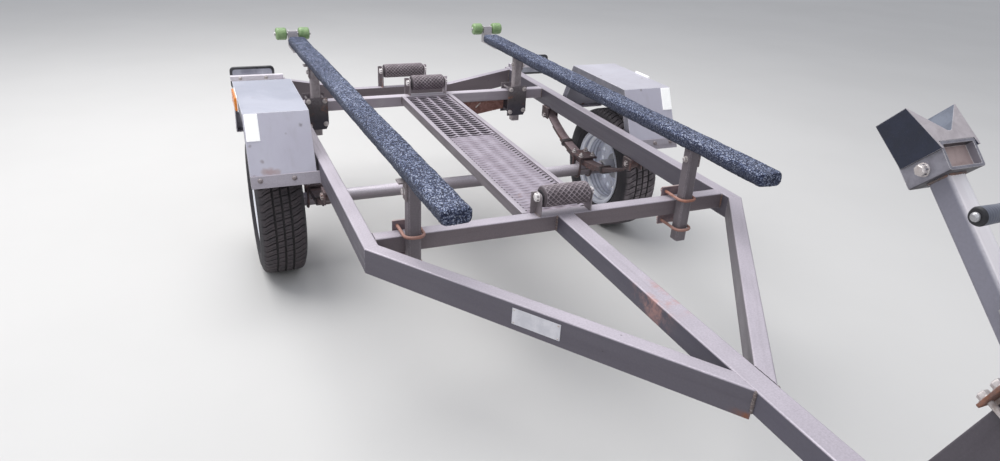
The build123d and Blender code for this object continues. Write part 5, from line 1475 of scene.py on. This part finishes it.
# spring hangers under the rails, spring seats on the axle
for s in (-1, 1):
    for y, L in ((0.582, 0.062), (1.385, 0.070)):
        for e in (-1, 1):
            k += 1
            x = s * 0.6425 + e * 0.0292
            if abs(x) < 0.6655:
                g.weld([(x, y - L / 2 + 0.004, 0.4957), (x, y + L / 2 - 0.004, 0.4957)], 0.0020,
                       0.0026, seed=100 + k)
    for y in (0.9722, 1.0278):
        k += 1
        g.weld([(s * 0.6215, y, 0.3000), (s * 0.6635, y, 0.3000)], 0.0030, seed=100 + k)
g.make("frame_welds", "chassis", "frame_steel", [M["weld"]], 60)

g = Mesh()
g.weld([(0.280, 1.4612, 0.5170), (0.254, 1.4612, 0.4925)], 0.0030, seed=91)
g.make("rear_plate_weld", "chassis", "frame_steel", [M["bolt"]], 60)

# clamp plate and bolts on the winch post, below the bow arm
g = Mesh()
REAR_ROWS = (vec(1, 0, 0), POST_UP, POST_REAR)


def on_post(x, up, off):
    return FOOT + vec(x, 0, 0) + POST_UP * up + POST_REAR * off


T0 = (0.862 - 0.576) / 0.936
g.obox(on_post(0, T0 + 0.0125, 0.0095), (0.054, 0.0150, 0.0030), REAR_ROWS, 0, 0.0010)
for e in (-1, 1):
    g.obox(on_post(e * 0.0405, T0 + 0.0400, 0.0095), (0.0135, 0.0145, 0.0030), REAR_ROWS, 0, 0.0010)
g.obox(on_post(0, T0 + 0.012, 0.0032), (0.0285, 0.010, 0.0034), REAR_ROWS, 1, 0.0008)
FRONT_OFF = -0.075
g.obox(on_post(0, T0 + 0.0250, FRONT_OFF - 0.0034), (0.054, 0.0290, 0.0030), REAR_ROWS, 0, 0.0010)
for e in (-1, 1):
    for t in (T0 + 0.010, T0 + 0.0405):
        p0, p1 = on_post(e * 0.0405, t, FRONT_OFF - 0.0075), on_post(e * 0.0405, t, 0.0150)
        g.tube([p0, p0 + (p1 - p0) / 3, p0 + (p1 - p0) * 2 / 3, p1], 0.0050, 12, 1)
        g.hexhead(on_post(e * 0.0405, t, 0.0125), POST_REAR, 0.0170, 0.0090, washer=0.0118, mat=2)
        g.hexhead(on_post(e * 0.0405, t, FRONT_OFF - 0.0064), -POST_REAR, 0.0170, 0.0080,
                  washer=0.0118, mat=2)
g.make("winch_post_clamp", "chassis", "rusty_bolts", [M["rusty_plate"], M["plate"], M["bolt"]], 25)

# bow stop clamping bolt
g = Mesh()
g.hexhead(arm_pt(-0.038, -0.001, 0.0255), (-1, 0, 0), 0.0178, 0.0086, washer=0.0112, mat=0)
g.hexhead(arm_pt(0.038, -0.001, 0.0255), (1, 0, 0), 0.0178, 0.0086, washer=0.0112, mat=1)
g.make("bow_stop_bolt", "chassis", "frame_steel", [M["bolt"], M["plate"]], 25)

# spring clips
g = Mesh()
CYC, CZC = 0.9696, 1.1312
for s in (-1, 1):
    for y in (1.172, 0.790):
        sn = (y - CYC) / 0.787
        th = math.asin(sn)
        nrm = vec(0, math.sin(th), -math.cos(th)); tan = vec(0, math.cos(th), math.sin(th))
        c = vec(s * 0.6425, CYC, CZC) + nrm * 0.7870
        hh = 0.0135 if y > 1 else 0.0150
        for e in (-1, 1):
            g.obox(c + nrm * (e * hh), (0.0262, 0.0095, 0.0016), (vec(1, 0, 0), tan, nrm), 0, 0.0006)
            g.obox(c + vec(e * 0.0246, 0, 0), (0.0016, 0.0095, hh), (vec(1, 0, 0), tan, nrm), 0,
                   0.0006)
            g.hexhead(c + vec(e * 0.0262, 0, 0), (e, 0, 0), 0.0110, 0.0040)
g.make("spring_clips", "chassis", "spring_steel", [M["plate_plain"]], 25)

# wheels: nuts, valve, hub cap rim
for side, s in (("right", -1), ("left", 1)):
    cx = s * 0.803
    g = Mesh()
    for q in range(4):
        t = PI / 4 + q * PI / 2
        p = (cx + s * 0.0339, 1.0 + 0.050 * math.cos(t), 0.289 + 0.050 * math.sin(t))
        g.hexhead(p, (s, 0, 0), 0.0190, 0.0160, washer=0.0128, domed=0.5)
    g.lathe([(0.0540, 0.0225), (0.0560, 0.0235), (0.0572, 0.0225), (0.0574, 0.0180),
             (0.0588, 0.0165), (0.0594, 0.0100), (0.0596, 0)], (cx, 1.0, 0.289), (s, 0, 0), 32)
    g.make(f"{side}_wheel_nuts", f"{side}_wheel", "axle_steel", [M["bolt"]], 28)
    g = Mesh()
    t = PI / 16 + 5 * PI / 8
    base = vec(cx + s * 0.026, 1.0 + 0.1345 * math.cos(t), 0.289 + 0.1345 * math.sin(t))
    g.lathe([(0, 0.0080), (0.004, 0.0078), (0.0065, 0.0045), (0.022, 0.0040), (0.0225, 0.0034),
             (0.0245, 0.0034), (0.0250, 0.0043), (0.0325, 0.0043), (0.0332, 0.0036), (0.0332, 0)],
            base, (s, 0, 0), 16)
    g.make(f"{side}_tyre_valve", f"{side}_wheel", "tyre_rubber", [M["black_plastic"]], 28)


# tail lamps: rounded black housings, glossy panel in front, lenses behind
def rounded(w, h, r, n=7):
    pts = []
    for cx, cz, a0 in ((w - r, h - r, 0), (-w + r, h - r, 90), (-w + r, -h + r, 180),
                       (w - r, -h + r, 270)):
        for q in range(n):
            t = math.radians(a0 + 90 * q / (n - 1))
            pts.append((cx + r * math.cos(t), cz + r * math.sin(t)))
    return np.array(pts)


def slab(g, cx, cz, w, h, r, ys, insets, mat):
    """Rounded slab along +Y: rows of (y, inset), closed at both ends."""
    verts, rows = [], []
    for y, i in zip(ys, insets):
        p = rounded(w - i, h - i, max(r - i, 0.001))
        verts.append(np.stack([cx + p[:, 0], np.full(len(p), y), cz + p[:, 1]], 1))
    n, m = len(verts[0]), len(ys)
    faces = [(a * n + b, (a + 1) * n + b, (a + 1) * n + (b + 1) % n, a * n + (b + 1) % n)
             for a in range(m - 1) for b in range(n)]
    faces.append(tuple(range(n)))
    faces.append(tuple((m - 1) * n + b for b in range(n))[::-1])
    g.add(np.vstack(verts), faces, mat)


g = Mesh()
for s in (-1, 1):
    cx, cz = s * 0.7775, 0.585
    slab(g, cx, cz, 0.1075, 0.055, 0.020, (1.9304, 1.9306, 1.9330, 1.9420, 1.9436, 1.9438),
         (0.0040, 0.0024, 0.0, 0.0, 0.0014, 0.0030), 0)
    # front panel
    slab(g, cx, cz, 0.0950, 0.0430, 0.014, (1.93025, 1.9301, 1.9306), (0.0016, 0.0, 0.0), 1)
    # lenses, three fields
    for x0, x1, mi in ((-0.1045, -0.036, 3 if s < 0 else 2), (-0.034, 0.034, 2),
                       (0.036, 0.1045, 2 if s < 0 else 3)):
        w = (x1 - x0) / 2
        slab(g, cx + (x0 + x1) / 2, cz, w, 0.0515, 0.016, (1.9430, 1.9478, 1.9494, 1.9500),
             (0.0, 0.0, 0.0012, 0.0034), mi)
        m = 9
        for q in range(m):
            z = cz - 0.040 + q * 0.080 / (m - 1)
            g.box((cx + x0 + 0.006, 1.9494, z - 0.0011), (cx + x1 - 0.006, 1.9500, z + 0.0011), mi,
                  0.0003)
o = g.make("tail_lamp_housings", "chassis", "lamp_housing",
           [M["black_plastic"], M["lamp_back"], M["red_lens"], M["amber_lens"]], 25,
           ("tail_lamps",))

# studs that hold the lamps to their bars
g = Mesh()
for s in (-1, 1):
    for dx in (-0.062, 0.062):
        g.hexhead((s * 0.7775 + dx, 1.9052, 0.5887), (0, -1, 0), 0.0130, 0.0060, washer=0.0090)
g.make("tail_lamp_nuts", "chassis", "frame_steel", [M["bolt"]], 25)

# ratchet gear on the winch drum, screws in the base
dc = arm_pt(0, 0.075, -0.270)
g = Mesh()
teeth = 30
prof = []
for q in range(teeth):
    for f, r in ((0.0, 0.0360), (0.30, 0.0360), (0.42, 0.0405), (0.72, 0.0405)):
        t = 2 * PI * (q + f) / teeth
        prof.append((dc[1] + r * math.cos(t), dc[2] + r * math.sin(t)))
prof = np.array(prof)
n = len(prof)
for x0, x1 in ((0.0334, 0.0376),):
    v = np.vstack([np.column_stack([np.full(n, x0), prof]), np.column_stack([np.full(n, x1), prof]),
                   [[x0, dc[1], dc[2]]], [[x1, dc[1], dc[2]]]])
    fs = [(a, (a + 1) % n, n + (a + 1) % n, n + a) for a in range(n)]
    fs += [((a + 1) % n, a, 2 * n) for a in range(n)] + \
          [(n + a, n + (a + 1) % n, 2 * n + 1) for a in range(n)]
    g.add(v, fs, 0)
g.make("winch_ratchet_gear", "winch", "zinc_steel", [M["zinc"]], 20)

g = Mesh()
for e in (-1, 1):
    for a, nn in ((-0.325, 0.096), (-0.216, 0.092)):
        g.hexhead(arm_pt(e * 0.044, nn, a), (e, 0, 0), 0.0150, 0.0062, washer=0.0100)
for a in (-0.345, -0.220):
    for x in (-0.026, 0.026):
        g.hexhead(arm_pt(x * 0.55, 0.0254, a), ARM_N, 0.0140, 0.0060, washer=0.0095)
for y in (-1.812, -1.762):
    for e in (-1, 1):
        g.hexhead((e * 0.0350, y, 0.546), (e, 0, 0), 0.0196, 0.0094, washer=0.0125)
g.make("winch_and_coupler_bolts", "chassis", "zinc_steel", [M["bolt"]], 25)

g = Mesh()
for e in (-1, 1):
    g.hexhead((-0.062 + e * 0.0350, -1.612, 0.1), (e, 0, 0), 0.0207, 0.0106, washer=0.0135)
g.make("jockey_axle_nuts", "caster", "zinc_steel", [M["bolt"]], 25)

# jockey crank handle sleeve and tommy bar ends
g = Mesh()
g.lathe([(0, 0.0104), (0, 0.0118), (0.003, 0.0128), (0.020, 0.0122), (0.045, 0.0130),
         (0.060, 0.0124), (0.0655, 0.0112), (0.0672, 0.0060), (0.0672, 0)],
        (-0.062, -1.768, 0.8460), (0, 0, 1), 22)
for e in (-1, 1):
    g.lathe([(-0.006, 0.0052), (-0.006, 0.0066), (0.0002, 0.0072), (0.0016, 0.0060), (0.0016, 0)],
            (-0.120, -1.650 + e * 0.045, 0.546), (0, e, 0), 14)
g.make("jockey_crank_sleeve", "chassis", "grip_rubber", [M["black_plastic"]], 30)


# ------------------------------------------------------------------ camera, floor, light
cam_data = bpy.data.cameras.new("camera")
cam = bpy.data.objects.new("camera", cam_data)
scene.collection.objects.link(cam)
right = Vector((0.92240, -0.38326, 0.04781))
upv = Vector((0.12649, 0.41673, 0.90019))
fwd = Vector((0.36493, 0.82429, -0.43287))
back = -fwd.normalized()
right = right.normalized()
upv = back.cross(right).normalized()
cam.matrix_world = Matrix(((right.x, upv.x, back.x, -1.036), (right.y, upv.y, back.y, -1.843),
                           (right.z, upv.z, back.z, 1.507), (0, 0, 0, 1)))
cam_data.sensor_fit = "HORIZONTAL"
cam_data.sensor_width = 36.0
cam_data.lens = 25.611
cam_data.clip_start, cam_data.clip_end = 0.02, 200.0
scene.camera = cam

floor_me = bpy.data.meshes.new("floor")
floor_me.from_pydata([(-60, -60, 0), (60, -60, 0), (60, 60, 0), (-60, 60, 0)], [], [(0, 1, 2, 3)])
floor = bpy.data.objects.new("floor", floor_me)
scene.collection.objects.link(floor)
g = G("floor_pale")
n = g.noise(0.8, 4)
g.set(g.mix(g.rng(n, 0.3, 0.7), (0.60, 0.595, 0.585), (0.62, 0.615, 0.605)), 0.92, 0.0)
floor_me.materials.append(g.m)

world = bpy.data.worlds.new("studio")
scene.world = world
world.use_nodes = True
wt = world.node_tree
wt.nodes.clear()
wo = wt.nodes.new("ShaderNodeOutputWorld")
bg = wt.nodes.new("ShaderNodeBackground")
tc = wt.nodes.new("ShaderNodeTexCoord")
sx = wt.nodes.new("ShaderNodeSeparateXYZ")
mr = wt.nodes.new("ShaderNodeMapRange")
mr.inputs[1].default_value, mr.inputs[2].default_value = 0.0, 0.9
rp = wt.nodes.new("ShaderNodeMix"); rp.data_type = "RGBA"
rp.inputs[6].default_value = (0.46, 0.46, 0.48, 1)
rp.inputs[7].default_value = (0.95, 0.98, 1.06, 1)
wt.links.new(tc.outputs["Generated"], sx.inputs[0])
wt.links.new(sx.outputs[2], mr.inputs[0])
wt.links.new(mr.outputs[0], rp.inputs[0])
wt.links.new(rp.outputs[2], bg.inputs[0])
bg.inputs[1].default_value = 0.72
wt.links.new(bg.outputs[0], wo.inputs[0])


def area(name, loc, target, size, power, colour=(1, 1, 1)):
    d = bpy.data.lights.new(name, "AREA")
    d.shape, d.size, d.energy, d.color = "SQUARE", size, power, colour
    o = bpy.data.objects.new(name, d)
    scene.collection.objects.link(o)
    o.location = loc
    o.rotation_mode = "QUATERNION"
    o.rotation_quaternion = (Vector(target) - Vector(loc)).to_track_quat("-Z", "Y")
    return o


area("overhead", (-1.4, 2.2, 5.2), (0, 0.4, 0.5), 5.0, 330, (1.0, 0.985, 0.965))
area("front_fill", (-3.5, -4.0, 3.2), (0, 0, 0.5), 3.0, 55, (0.94, 0.97, 1.0))
scene.view_settings.view_transform = "Standard"
scene.view_settings.look = "None"
